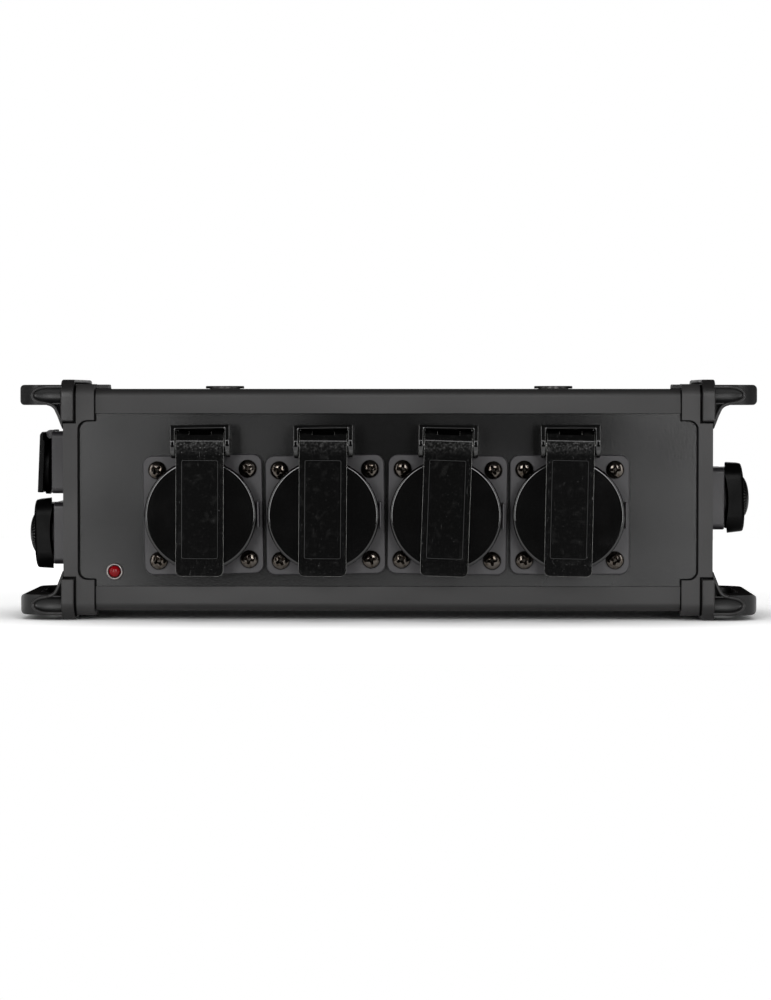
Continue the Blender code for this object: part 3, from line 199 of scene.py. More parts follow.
class Solid:
    """A closed shape in millimetres about the box's middle, or several that pass into each other."""

    def __init__(self, shape: bmesh.types.BMesh) -> None:
        """Keeps the mesh that the shape is made of."""
        self.shape = shape

    @classmethod
    def of(cls, mesh: bpy.types.Mesh, *helpers: bpy.types.Object) -> "Solid":
        """A shape read from a mesh, after which the objects that made it are removed.

        Args:
            mesh: The mesh.
            helpers: The objects.

        Returns:
            The shape.
        """
        shape = bmesh.new()
        shape.from_mesh(mesh)
        for obj in helpers:
            data = obj.data
            bpy.data.objects.remove(obj)
            bpy.data.meshes.remove(data)
        return cls(shape)

    @classmethod
    def grid(cls, rows: Iterable[Iterable[Sequence[float]]]) -> "Solid":
        """A shape through closed rings of equally many points, its first and last rings filled.

        Args:
            rows: The rings.

        Returns:
            The closed shape.
        """
        shape = bmesh.new()
        rings = [[shape.verts.new(point) for point in row] for row in rows]
        for near, far in zip(rings, rings[1:]):
            for k, corner in enumerate(near):
                after = (k + 1) % len(near)
                shape.faces.new((corner, near[after], far[after], far[k]))
        shape.faces.new(rings[0])
        shape.faces.new(rings[-1])
        bmesh.ops.recalc_face_normals(shape, faces=shape.faces)
        return cls(shape)

    @classmethod
    def loft(cls, axis: Axis, sections: Iterable[tuple[float, Outline]]) -> "Solid":
        """A shape through outlines of equally many points, each at its place along the axis."""
        return cls.grid([axis.point(at, u, v) for u, v in outline] for at, outline in sections)

    @classmethod
    def prism(cls, axis: Axis, outline: Outline, start: float, end: float) -> "Solid":
        """The outline drawn out along the axis."""
        return cls.loft(axis, ((start, outline), (end, outline)))

    @classmethod
    def lathe(cls, axis: Axis, profile: Sequence[Pair], sides: int, centre: Pair = (0.0, 0.0)) -> "Solid":
        """A solid of revolution.

        Args:
            axis: The axis that it is turned about.
            profile: (radius, place along the axis), from the axis to the axis, or a loop clear of it.
            sides: Number of flats round it.
            centre: Where the axis stands.

        Returns:
            The closed shape.
        """
        shape = bmesh.new()
        rings = []
        for radius, along in profile:
            ring = []
            for k in range(sides if radius else 1):
                angle = 2 * math.pi * (k + 0.5) / sides
                u, v = centre[0] + radius * math.cos(angle), centre[1] + radius * math.sin(angle)
                ring.append(shape.verts.new(axis.point(along, u, v)))
            rings.append(ring)
        if profile[0][0] and profile[-1][0]:
            rings.append(rings[0])
        for near, far in zip(rings, rings[1:]):
            for k in range(sides):
                after = (k + 1) % sides
                around = ((near, k), (near, after), (far, after), (far, k))
                shape.faces.new(tuple(dict.fromkeys(ring[at % len(ring)] for ring, at in around)))
        bmesh.ops.recalc_face_normals(shape, faces=shape.faces)
        return cls(shape)

    @classmethod
    def rod(
        cls, axis: Axis, radius: float, start: float, end: float, centre: Pair = (0.0, 0.0), sides: int = 32
    ) -> "Solid":
        """A round bar about an axis that stands at the centre."""
        return cls.lathe(axis, ((0.0, start), (radius, start), (radius, end), (0.0, end)), sides, centre)

    def mesh(self, name: str) -> bpy.types.Mesh:
        """The shape as a mesh.

        Args:
            name: The mesh's name.

        Returns:
            The mesh.
        """
        mesh = bpy.data.meshes.new(name)
        self.shape.to_mesh(mesh)
        return mesh

    def moved(self, matrix: Matrix) -> "Solid":
        """A copy under a matrix, its faces outward also where the matrix mirrors it.

        Args:
            matrix: The matrix.

        Returns:
            The copy.
        """
        copy = self.shape.copy()
        bmesh.ops.transform(copy, matrix=matrix, verts=copy.verts)
        if matrix.determinant() < 0:
            bmesh.ops.reverse_faces(copy, faces=copy.faces)
        return Solid(copy)

    def beside(self, *others: "Solid") -> "Solid":
        """This shape and others as one mesh, without a Boolean.

        Args:
            others: The other shapes.

        Returns:
            The shapes together.
        """
        result = self.shape.copy()
        for other in others:
            mesh = other.mesh("together")
            result.from_mesh(mesh)
            bpy.data.meshes.remove(mesh)
        return Solid(result)

    def combined(self, how: Join, *tools: "Solid") -> "Solid":
        """The exact Boolean of this shape with others, one after another.

        Args:
            how: The operation.
            tools: The other shapes.

        Returns:
            The result.
        """
        result = self
        for tool in tools:
            target, other = placed("target", result.mesh("target")), placed("tool", tool.mesh("tool"))
            modifier = target.modifiers.new("combine", "BOOLEAN")
            modifier.operation, modifier.solver, modifier.object = how.value, "EXACT", other
            result = Solid.of(evaluated(target).data, target, other)
        return result

    def minus(self, *tools: "Solid") -> "Solid":
        """This shape with others cut out of it."""
        return self.combined(Join.DIFFERENCE, *tools)

    def softened(self, width: float, segments: int = 3, from_deg: float = 32.0) -> "Solid":
        """The shape with its sharp edges rounded.

        Args:
            width: How far the rounding reaches.
            segments: Number of flats in it.
            from_deg: Edges flatter than this stay.

        Returns:
            The softened shape.
        """
        target = placed("target", self.mesh("target"))
        target.modifiers.new("weld", "WELD").merge_threshold = 0.01
        modifier = target.modifiers.new("soften", "BEVEL")
        modifier.width, modifier.segments, modifier.limit_method = width, segments, "ANGLE"
        modifier.angle_limit, modifier.miter_outer = math.radians(from_deg), "MITER_ARC"
        return Solid.of(evaluated(target).data, target)

    def painted(self, slot_number: int, along: Axis | None = None, cosine: float = 0.7) -> "Solid":
        """Gives all faces, or those that look along an axis, either way, a material slot.

        Args:
            slot_number: The slot.
            along: The axis.
            cosine: How nearly a face has to look along it.

        Returns:
            The solid itself.
        """
        self.shape.normal_update()
        for face in self.shape.faces:
            if not along or abs(face.normal.dot(along.point(1.0, 0.0, 0.0))) > cosine:
                face.material_index = slot_number
        return self


@dataclass(frozen=True)
class Finish:
    """A surface with a fine grain in its colour, gloss and height.

    A real moulding's or coating's grain is finer than 0.3 mm; here it is as coarse as it needs to be to show.
    """

    name: str
    colour: str
    roughness: float
    grain_mm: float = 0.6
    metallic: float = 0.0
    ior: float = 1.5
    tone: float = 0.25
    gloss_spread: float = 0.06
    bump_mm: float = 0.012
    patch_mm: float = 22.0
    shine: float = 0.5

    def material(self) -> bpy.types.Material:
        """The Blender material, made once."""
        return bpy.data.materials.get(self.name) or self._build()

    def _build(self) -> bpy.types.Material:
        """Builds the node tree.

        Returns:
            The material.
        """
        material = bpy.data.materials.new(self.name)
        material.use_nodes = True
        material.diffuse_color = linear(self.colour)
        tree = material.node_tree
        shader = tree.nodes["Principled BSDF"]
        for socket, value in self.constants().items():
            shader.inputs[socket].default_value = value
        own = add_node(tree, PLACE, out="Object")
        place = add_node(tree, "ShaderNodeMapping", {"Vector": own, "Scale": (1 / MM, 1 / MM, 1 / MM)})
        for socket, source in self.patterns(tree, place).items():
            tree.links.new(source, shader.inputs[socket])
        return material

    def constants(self) -> dict[str, Any]:
        """The shader's inputs that are the same all over the surface."""
        return {"Metallic": self.metallic, "IOR": self.ior, "Specular IOR Level": self.shine}

    def patterns(self, tree: Tree, place: Signal) -> dict[str, Signal]:
        """What varies over the surface.

        Args:
            tree: The node tree.
            place: The place in millimetres.

        Returns:
            Each shader input with the socket that feeds it.
        """
        grain = add_node(tree, NOISE, {"Vector": place, "Scale": 1 / self.grain_mm, "Detail": 2.0})
        patch = add_node(tree, NOISE, {"Vector": place, "Scale": 1 / self.patch_mm, "Detail": 1.0})
        gloss = (patch, 0.3, 0.7, self.roughness - self.gloss_spread, self.roughness + self.gloss_spread)
        height = {"Height": grain, "Distance": self.bump_mm * MM, "Strength": 1.0}
        made = {
            "Base Color": linear(self.colour, 1 - self.tone),
            "Roughness": add_node(tree, RANGE, gloss),
            "Normal": add_node(tree, "ShaderNodeBump", height),
        }
        fine = add_node(tree, RANGE, (grain, 0.3, 0.7, 0.0, 1.0))
        wide = add_node(tree, RANGE, (patch, 0.3, 0.7, 0.0, 0.35))
        self.lay_over(tree, made, fine, linear(self.colour, 1 + self.tone))
        self.lay_over(tree, made, wide, linear(self.colour, 1 - 0.5 * self.tone))
        return made

    @staticmethod
    def lay_over(tree: Tree, made: dict[str, Any], share: Signal, colour: Any) -> None:
        """Lays a second colour over the surface's own, as densely as its share."""
        both = {0: share, 6: made["Base Color"], 7: colour}
        made["Base Color"] = add_node(tree, "ShaderNodeMix", both, 2, data_type="RGBA")


@dataclass(frozen=True)
class PaintedEdgeHighlights(Finish):
    """Polished moulding with a painted highlight, a paler colour, on its rounded side and lower edges."""

    edge_highlight_colour: str = "#8f8f8c"
    turned: Pair = (0.38, 0.5)
    sideways: Pair = (0.8, 0.9)

    def patterns(self, tree: Tree, place: Signal) -> dict[str, Signal]:
        """Adds the painted highlight, a paler colour where the surface turns from the front to a side or
        downwards, to the grain.

        Args:
            tree: The node tree.
            place: The place in millimetres.

        Returns:
            Each shader input with the socket that feeds it.
        """
        made = super().patterns(tree, place)
        # Painted highlight: the paler colour is laid on where the normal turns from the front to a side or
        # downwards.
        facing = add_node(tree, PARTS, (add_node(tree, PLACE, out="Normal"),)).node.outputs
        across = add_node(tree, MATH, (facing["X"],), operation="ABSOLUTE")
        down = add_node(tree, MATH, (facing["Z"], -1.0), operation="MULTIPLY")
        turn = add_node(tree, MATH, (across, down), operation="MAXIMUM")
        begins = add_node(tree, RANGE, (turn, *self.turned, 0.0, 1.0))
        ends = add_node(tree, RANGE, (turn, *self.sideways, 1.0, 0.0))
        edge = add_node(tree, MATH, (begins, ends), operation="MULTIPLY")
        broken = spots(tree, place, 2.5, 3.0, 0.35, 0.6, 0.35, 0.95)
        edge = add_node(tree, MATH, (edge, broken), operation="MULTIPLY")
        self.lay_over(tree, made, edge, linear(self.edge_highlight_colour))
        return made


@dataclass(frozen=True)
class WornMouldingWithHighlight(PaintedEdgeHighlights):
    """Polished moulding that hands have dulled: hairline scratches, pale rubbed patches and dust specks, and a
    pale band at the strap's bend that is rubbed wear and partly a painted highlight.
    """

    scuff_and_highlight: float = 0.5
    scuff_and_highlight_colour: str = "#4a4a49"
    # Heights of the pale band at the strap's bend: rubbed wear, and partly a painted highlight.
    bend: tuple[float, float, float, float] = (69.5, 72.8, 74.8, 75.9)

    def patterns(self, tree: Tree, place: Signal) -> dict[str, Signal]:
        """Adds the scratches and rubbed patches, which are densest where the strap bends, to the grain; the
        pale band there is partly a painted highlight.

        Args:
            tree: The node tree.
            place: The place in millimetres.

        Returns:
            Each shader input with the socket that feeds it.
        """
        made = super().patterns(tree, place)
        drawn_out = {"Vector": place, "Rotation": (0.0, math.radians(24), 0.0), "Scale": (1.6, 1.0, 0.11)}
        scratch = spots(tree, add_node(tree, "ShaderNodeMapping", drawn_out), 0.5, 3.0, 0.68, 0.76, 0.0, 1.0)
        speck = spots(tree, place, 0.5, 0.0, 0.78, 0.84, 0.0, 1.0)
        haze = spots(tree, place, 3.2, 5.0, 0.56, 0.8, 0.0, 1.0)
        patchy = spots(tree, place, 0.9, 6.0, 0.44, 0.66, 0.05, 0.8)
        height = add_node(tree, PARTS, (place,), "Z")
        up = add_node(tree, RANGE, (height, *self.bend[:2], 0.0, 1.0))
        down = add_node(tree, RANGE, (height, *self.bend[2:], 1.0, 0.0))
        # The band at the bend: rubbed wear, and partly a painted highlight where the curve catches the light.
        band = add_node(tree, MATH, (up, down), operation="MULTIPLY")
        band = add_node(tree, MATH, (band, patchy), operation="MULTIPLY")
        worn_and_lit = add_node(tree, MATH, (scratch, speck), operation="MAXIMUM")
        worn_and_lit = add_node(tree, MATH, (band, 0.95, worn_and_lit), operation="MULTIPLY_ADD")
        worn_and_lit = add_node(tree, MATH, (haze, 0.3, worn_and_lit), operation="MULTIPLY_ADD")
        share = add_node(tree, RANGE, (worn_and_lit, 0.0, 1.4, 0.0, self.scuff_and_highlight))
        self.lay_over(tree, made, share, linear(self.scuff_and_highlight_colour))
        made["Roughness"] = add_node(tree, RANGE, (worn_and_lit, 0.0, 1.0, self.roughness, self.roughness + 0.15))
        return made


@dataclass(frozen=True)
class PlatedMetal(Finish):
    """Plated or bright steel: a metal tint that is darker where the plating has tarnished."""

    tarnish: str = "#3a332b"

    def patterns(self, tree: Tree, place: Signal) -> dict[str, Signal]:
        """Adds tarnish to the grain.

        Args:
            tree: The node tree.
            place: The place in millimetres.

        Returns:
            Each shader input with the socket that feeds it.
        """
        made = super().patterns(tree, place)
        self.lay_over(tree, made, spots(tree, place, 1.3, 4.0, 0.46, 0.64, 0.0, 0.8), linear(self.tarnish))
        return made


@dataclass(frozen=True)
class StripedSheath(Finish):
    """Insulation in two colours that run along the core."""

    stripe: str = "#d8c22a"
    turns_per_mm: float = 0.06

    def patterns(self, tree: Tree, place: Signal) -> dict[str, Signal]:
        """Adds the second colour.

        Args:
            tree: The node tree.
            place: The place in millimetres.

        Returns:
            Each shader input with the socket that feeds it.
        """
        made = super().patterns(tree, place)
        bands = {"Vector": place, "Scale": self.turns_per_mm}
        wave = add_node(tree, "ShaderNodeTexWave", bands, "Fac", bands_direction="Z")
        self.lay_over(tree, made, add_node(tree, RANGE, (wave, 0.55, 0.6, 0.0, 1.0)), linear(self.stripe))
        return made


@dataclass(frozen=True)
class ClearDye(Finish):
    """Dyed clear plastic, polished, with a little light let through."""

    through: float = 0.08

    def constants(self) -> dict[str, Any]:
        """Adds the light that passes through."""
        return super().constants() | {"Transmission Weight": self.through}


# Aluminium with a satin black powder coat: an even, slightly grey sheen with barely visible orange peel.
SATIN_COAT = Finish("satin_powder_coat", "#191818", 0.55, 0.5, tone=0.12, bump_mm=0.006, patch_mm=60.0)
# Aluminium sheet with a fine-textured powder coat: a dark sheen broken up by grain of nearly a millimetre.
TEXTURED_COAT = Finish("textured_powder_coat", "#0d0d0d", 0.22, 0.9, tone=0.45, bump_mm=0.02, patch_mm=60.0)
# Die-cast zinc with the satin coat: the casting's skin shows as a softer, wider grain.
COATED_CASTING = Finish("coated_die_casting", "#222121", 0.58, 0.7, tone=0.14, patch_mm=30.0)
# Glass-filled nylon, moulded: low sheen, faintly cloudy; kept darker than on the straps, as painted shade on
# the horns' recessed, curved faces.
MOULDED_NYLON = Finish("moulded_nylon", "#0c0c0c", 0.4, bump_mm=0.03, patch_mm=14.0, shine=0.35)
# The same nylon on straps and ridges, painted lighter where their flat fronts and rounded ridges catch the
# light.
NYLON_PAINTED_LIGHTER = Finish("nylon_painted_lighter", "#161515", 0.42, tone=0.22, patch_mm=11.0, shine=0.42)
# The same nylon on the horns' level faces, left rough by the mould: no shine, even at a glancing angle.
MATT_NYLON = Finish("matt_nylon", "#1a1919", 0.9, 0.7, tone=0.3, bump_mm=0.03, patch_mm=12.0, shine=0.0)
# Rubbery cap mouldings: deeper black, with next to no shine.
SOFT_BLACK = Finish("soft_moulding", "#040404", 0.38, 0.5, tone=0.2, patch_mm=9.0, shine=0.06)
# Caps' seal faces and crowns, hinges' back plates: spark-eroded, no shine, even at a glancing angle.
MATT_BLACK = Finish("matt_moulding", "#070707", 0.9, 0.5, tone=0.3, bump_mm=0.02, patch_mm=9.0, shine=0.0)
# Polyamide socket mouldings: dark grey with a violet cast and a spark-eroded satin.
SOCKET_GREY = Finish("satin_polyamide", "#232124", 0.42, 0.35, tone=0.16, bump_mm=0.008, patch_mm=18.0)
# Polycarbonate lids, polished in the mould: black mirror with faint ripples.
LID_BLACK = Finish("polished_polycarbonate", "#030303", 0.08, 0.9, 0.0, 1.58, 0.3, 0.02, 0.0006, 9.0)
# The same plastic on the hinge blocks, a little duller, its edges slightly paler: a painted highlight.
HINGE_BLACK = PaintedEdgeHighlights(
    "moulded_polycarbonate", "#030303", 0.12, 0.7, 0.0, 1.58, 0.3, 0.04, 0.003, 6.0, edge_highlight_colour="#3a3a39"
)
# The same plastic on the pull straps, dulled by hands, its edges painted pale as a highlight and its bend
# partly so.
STRAP_BLACK = WornMouldingWithHighlight(
    "rubbed_polycarbonate_painted_highlights", "#040404", 0.09, 0.5, 0.0, 1.58, 0.3, 0.05, 0.004, 6.0, edge_highlight_colour="#a9a9a5"
)
# Nitrile rubber gaskets: dead matt.
RUBBER = Finish("nitrile_rubber", "#151515", 0.78, 0.4, tone=0.2, bump_mm=0.02)
# Blackened steel inserts: dark, with a low metal sheen.
BLACK_STEEL = Finish("blackened_steel", "#3b3a39", 0.36, 0.4, 0.9, tone=0.2, bump_mm=0.004)
# Black nickel screws: bronze-grey metal, tarnished in spots.
DARK_NICKEL = PlatedMetal("dark_nickel", "#5b5651", 0.15, 0.8, 1.0, tone=0.12, bump_mm=0.004, patch_mm=3.0)
# Spring and pin steel, drawn bright.
BRIGHT_STEEL = PlatedMetal("drawn_steel", "#b9b9b8", 0.26, 0.3, 1.0, tone=0.1, bump_mm=0.003, tarnish="#77736c")
# Nickelled lamp ring: satin, so that it shows as an even pale line.
SATIN_NICKEL = Finish("satin_nickel", "#8d8785", 0.34, 0.6, 1.0, tone=0.08, bump_mm=0.002)
# Brass contacts, turned.
BRASS = PlatedMetal("turned_brass", "#c9a65a", 0.25, 0.3, 1.0, tone=0.1, bump_mm=0.003, tarnish="#8a6a35")
# Red acrylic lamp lens: deep and clear, with small highlights.
RED_LENS = ClearDye("red_acrylic", "#760209", 0.05, 0.9, 0.0, 1.49, 0.1, 0.02, 0.0005, shine=0.2)
# Core insulation in the wiring colours.
BROWN_CORE = Finish("brown_insulation", "#6b3a22", 0.45, 0.8, tone=0.1, bump_mm=0.01)
BLUE_CORE = Finish("blue_insulation", "#2a55b0", 0.45, 0.8, tone=0.1, bump_mm=0.01)
EARTH_CORE = StripedSheath("green_yellow_insulation", "#2f8f3a", 0.45, 0.8, tone=0.1, bump_mm=0.01)


@dataclass
class NodePattern:
    """A Geometry Nodes tree with named inputs, run on a passing object."""

    name: str
    tree: Tree = field(init=False)
    sockets: ClassVar[dict[str, str]] = {}

    def __post_init__(self) -> None:
        """Makes the tree: its inputs, the pattern's own nodes, and real instances in their material."""
        self.tree = bpy.data.node_groups.new(self.name, "GeometryNodeTree")
        labels = {"Geometry": "NodeSocketGeometry", "Material": "NodeSocketMaterial"} | self.sockets
        for label, kind in labels.items():
            self.tree.interface.new_socket(label, in_out="INPUT", socket_type=kind)
        self.tree.interface.new_socket("Geometry", in_out="OUTPUT", socket_type="NodeSocketGeometry")
        given = self.tree.nodes.new("NodeGroupInput").outputs
        real = add_node(self.tree, "GeometryNodeRealizeInstances", (self.build(given),))
        dressed = {"Geometry": real, "Material": given["Material"]}
        result = add_node(self.tree, "GeometryNodeSetMaterial", dressed)
        self.tree.links.new(result, self.tree.nodes.new("NodeGroupOutput").inputs["Geometry"])

    def build(self, given: Any) -> Signal:
        """The pattern's own nodes, from the tree's inputs to the geometry; a plain pattern has none."""
        return given["Geometry"]

    def run(self, base: bpy.types.Mesh, values: dict[str, Any], *helpers: bpy.types.Object) -> Solid:
        """Runs the tree on a mesh.

        Args:
            base: The mesh that it starts from, used up.
            values: Its inputs by name.
            helpers: Objects among them, which are used up too.

        Returns:
            The shape that it makes.
        """
        holder = placed(self.name, base)
        modifier = holder.modifiers.new(self.name, "NODES")
        modifier.node_group = self.tree
        for item in self.tree.interface.items_tree:
            if item.in_out == "INPUT" and item.name in values:
                modifier[item.identifier] = values[item.name]
        bpy.context.view_layer.update()
        made = bpy.data.meshes.new_from_object(evaluated(holder))
        holder.modifiers.remove(modifier)
        result = Solid.of(made, holder, *helpers)
        bpy.data.meshes.remove(made)
        return result


class RepeatPattern(NodePattern):
    """Sets one shape on every point of a mesh, turned as the point's own attribute says."""

    sockets = {"Shape": "NodeSocketObject", "Size": "NodeSocketFloat"}

    def build(self, given: Any) -> Signal:
        """Instances on the points.

        Args:
            given: The tree's inputs.

        Returns:
            The instances.
        """
        label = {"Name": "facing"}
        facing = add_node(
            self.tree, "GeometryNodeInputNamedAttribute", label, "Attribute", data_type="FLOAT_VECTOR"
        )
        turn = add_node(self.tree, "FunctionNodeEulerToRotation", (facing,))
        shape = add_node(self.tree, "GeometryNodeObjectInfo", {"Object": given["Shape"]}, "Geometry")
        places = {"Points": given["Geometry"], "Instance": shape, "Rotation": turn, "Scale": given["Size"]}
        return add_node(self.tree, "GeometryNodeInstanceOnPoints", places)

    def set_on(self, shape: Solid, places: Sequence[Matrix], finish: Finish) -> Solid:
        """Repeats a shape at places.

        Args:
            shape: The shape, about its own origin.
            places: Where each copy goes.
            finish: Its material.

        Returns:
            All the copies.
        """
        base = bpy.data.meshes.new("places")
        base.from_pydata([place.translation for place in places], [], [])
        facing = base.attributes.new("facing", "FLOAT_VECTOR", "POINT")
        for item, place in zip(facing.data, places):
            item.vector = place.to_euler()
        sample = placed("sample", shape.mesh("sample"))
        return self.run(base, {"Shape": sample, "Size": 1.0, "Material": finish.material()}, sample)


class WirePattern(NodePattern):
    """Draws a round wire along the edges of a mesh."""

    sockets = {"Radius": "NodeSocketFloat", "Flats": "NodeSocketInt"}

    def build(self, given: Any) -> Signal:
        """The path as a curve, with a circle drawn along it.

        Args:
            given: The tree's inputs.

        Returns:
            The wire.
        """
        path = add_node(self.tree, "GeometryNodeMeshToCurve", {"Mesh": given["Geometry"]})
        size = {"Resolution": given["Flats"], "Radius": given["Radius"]}
        circle = add_node(self.tree, "GeometryNodeCurvePrimitiveCircle", size)
        drawn = {"Curve": path, "Profile Curve": circle, "Fill Caps": True}
        return add_node(self.tree, "GeometryNodeCurveToMesh", drawn)

    def along(self, paths: Sequence[Line], radius: float, flats: int, finish: Finish) -> Solid:
        """Draws wires along paths.

        Args:
            paths: The points of each wire.
            radius: The wire's radius.
            flats: Flats round it.
            finish: Its material.

        Returns:
            All the wires.
        """
        points: Line = []
        edges: list[tuple[int, int]] = []
        for path in paths:
            edges += [(len(points) + k, len(points) + k + 1) for k in range(len(path) - 1)]
            points += path
        base = bpy.data.meshes.new("paths")
        base.from_pydata(points, edges, [])
        return self.run(base, {"Radius": radius, "Flats": flats, "Material": finish.material()})


@dataclass
class Workshop:
    """Turns shapes into finished pieces that ride on their bodies."""

    repeats: RepeatPattern = field(default_factory=lambda: RepeatPattern("set_on_points"))
    wires: WirePattern = field(default_factory=lambda: WirePattern("wire_along_path"))
    made: list[str] = field(default_factory=list)

    def finish(
        self,
        name: str,
        shape: Solid,
        finishes: Sequence[Finish],
        slot: str = "",
        stands_for: Sequence[str] = (),
        body: str = ROOT,
        sharp_deg: float = 38.0,
    ) -> None:
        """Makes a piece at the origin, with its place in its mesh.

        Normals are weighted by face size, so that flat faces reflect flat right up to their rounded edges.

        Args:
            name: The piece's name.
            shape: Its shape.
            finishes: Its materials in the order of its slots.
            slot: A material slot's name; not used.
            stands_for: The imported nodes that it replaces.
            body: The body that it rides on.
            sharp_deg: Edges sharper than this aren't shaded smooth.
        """
        plain = shape.mesh(name)
        plain.transform(Matrix.Scale(MM, 4) @ BOX_MIDDLE)
        for finish in finishes:
            plain.materials.append(finish.material())
        plain.shade_smooth()
        plain.set_sharp_from_angle(angle=math.radians(sharp_deg))
        piece = placed(name, plain)
        modifier = piece.modifiers.new("weighted_normals", "WEIGHTED_NORMAL")
        modifier.keep_sharp, modifier.weight = True, 80
        piece.data = bpy.data.meshes.new_from_object(evaluated(piece))
        piece.modifiers.remove(modifier)
        bpy.data.meshes.remove(plain)
        piece.data.name = name
        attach(piece, body)
        if stands_for:
            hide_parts(*stands_for)
        self.made.append(name)
        LOG.info("%s: %d faces on %s", name, len(piece.data.polygons), body)

    def draw(
        self, name: str, paths: Sequence[Line], radius: float, flats: int, finish: Finish, **facts: Any
    ) -> None:
        """Makes a piece of wires along paths, with the facts that finish takes."""
        self.finish(name, self.wires.along(paths, radius, flats, finish), [finish], **facts)

    def repeat(self, name: str, shape: Solid, places: Sequence[Matrix], finish: Finish, **facts: Any) -> None:
        """Makes a piece of copies of a shape, with the facts that finish takes."""
        self.finish(name, self.repeats.set_on(shape, places, finish), [finish], **facts)

    def coat(self, node: str, finish: Finish) -> None:
        """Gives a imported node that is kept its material.

        Args:
            node: The node's name.
            finish: Its material.
        """
        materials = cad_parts[node].data.materials
        materials.clear()
        materials.append(finish.material())
        LOG.info("%s: kept, %s", node, finish.name)


@dataclass
class SubAssembly:
    """Pieces that belong together; sizes are in millimetres about the box's middle, or the piece's own."""

    shop: Workshop


@dataclass
class Housing(SubAssembly):
    """The extruded box with its lips, and the flat plates that stay as they are packed."""

    half_length: float = 129.95
    depth: float = 72.3
    height: float = 93.4
    radius: float = 3.5
    wall: float = 2.5
    lip_height: float = 10.4
    lip_skin: float = 0.9
    lip_depth: float = 4.9
    groove: Pair = (2.5, 4.0)
    edge: float = 0.25

    def profile(self) -> Outline:
        """The C-shaped section.

        Returns:
            The outline as (depth, height).
        """
        front, half = -self.depth / 2, self.height / 2
        edge, under = half - self.lip_height, half - self.wall
        start, back = front + self.lip_skin, front + self.lip_depth
        slit, roof = start + self.groove[0], edge + self.groove[1]
        corner = (self.depth / 2 - self.radius, half - self.radius)
        outer = [(front, edge), *arc((-corner[0], corner[1]), self.radius, 180, 90, 8)]
        outer += arc(corner, self.radius, 90, 0, 8)
        inner = [(start, edge), (start, roof), (slit, roof), (slit, edge)]
        inner += [(back, edge), (back, under), (self.depth / 2 - self.wall, under)]
        return outer + [(y, -z) for y, z in reversed(outer)] + [(y, -z) for y, z in inner] + inner[::-1]

    def dress(self) -> None:
        """Makes the housing and coats the plates."""
        half, node = self.half_length, "housing_extrusion"
        shell = Solid.prism(Axis.X, self.profile(), -half, half).softened(self.edge, 2)
        self.shop.finish(f"{node}_skin", shell, [SATIN_COAT], "coated_aluminium", [node])
        for node in ("front_panel", "end_panel_left", "end_panel_right"):
            self.shop.coat(node, TEXTURED_COAT)


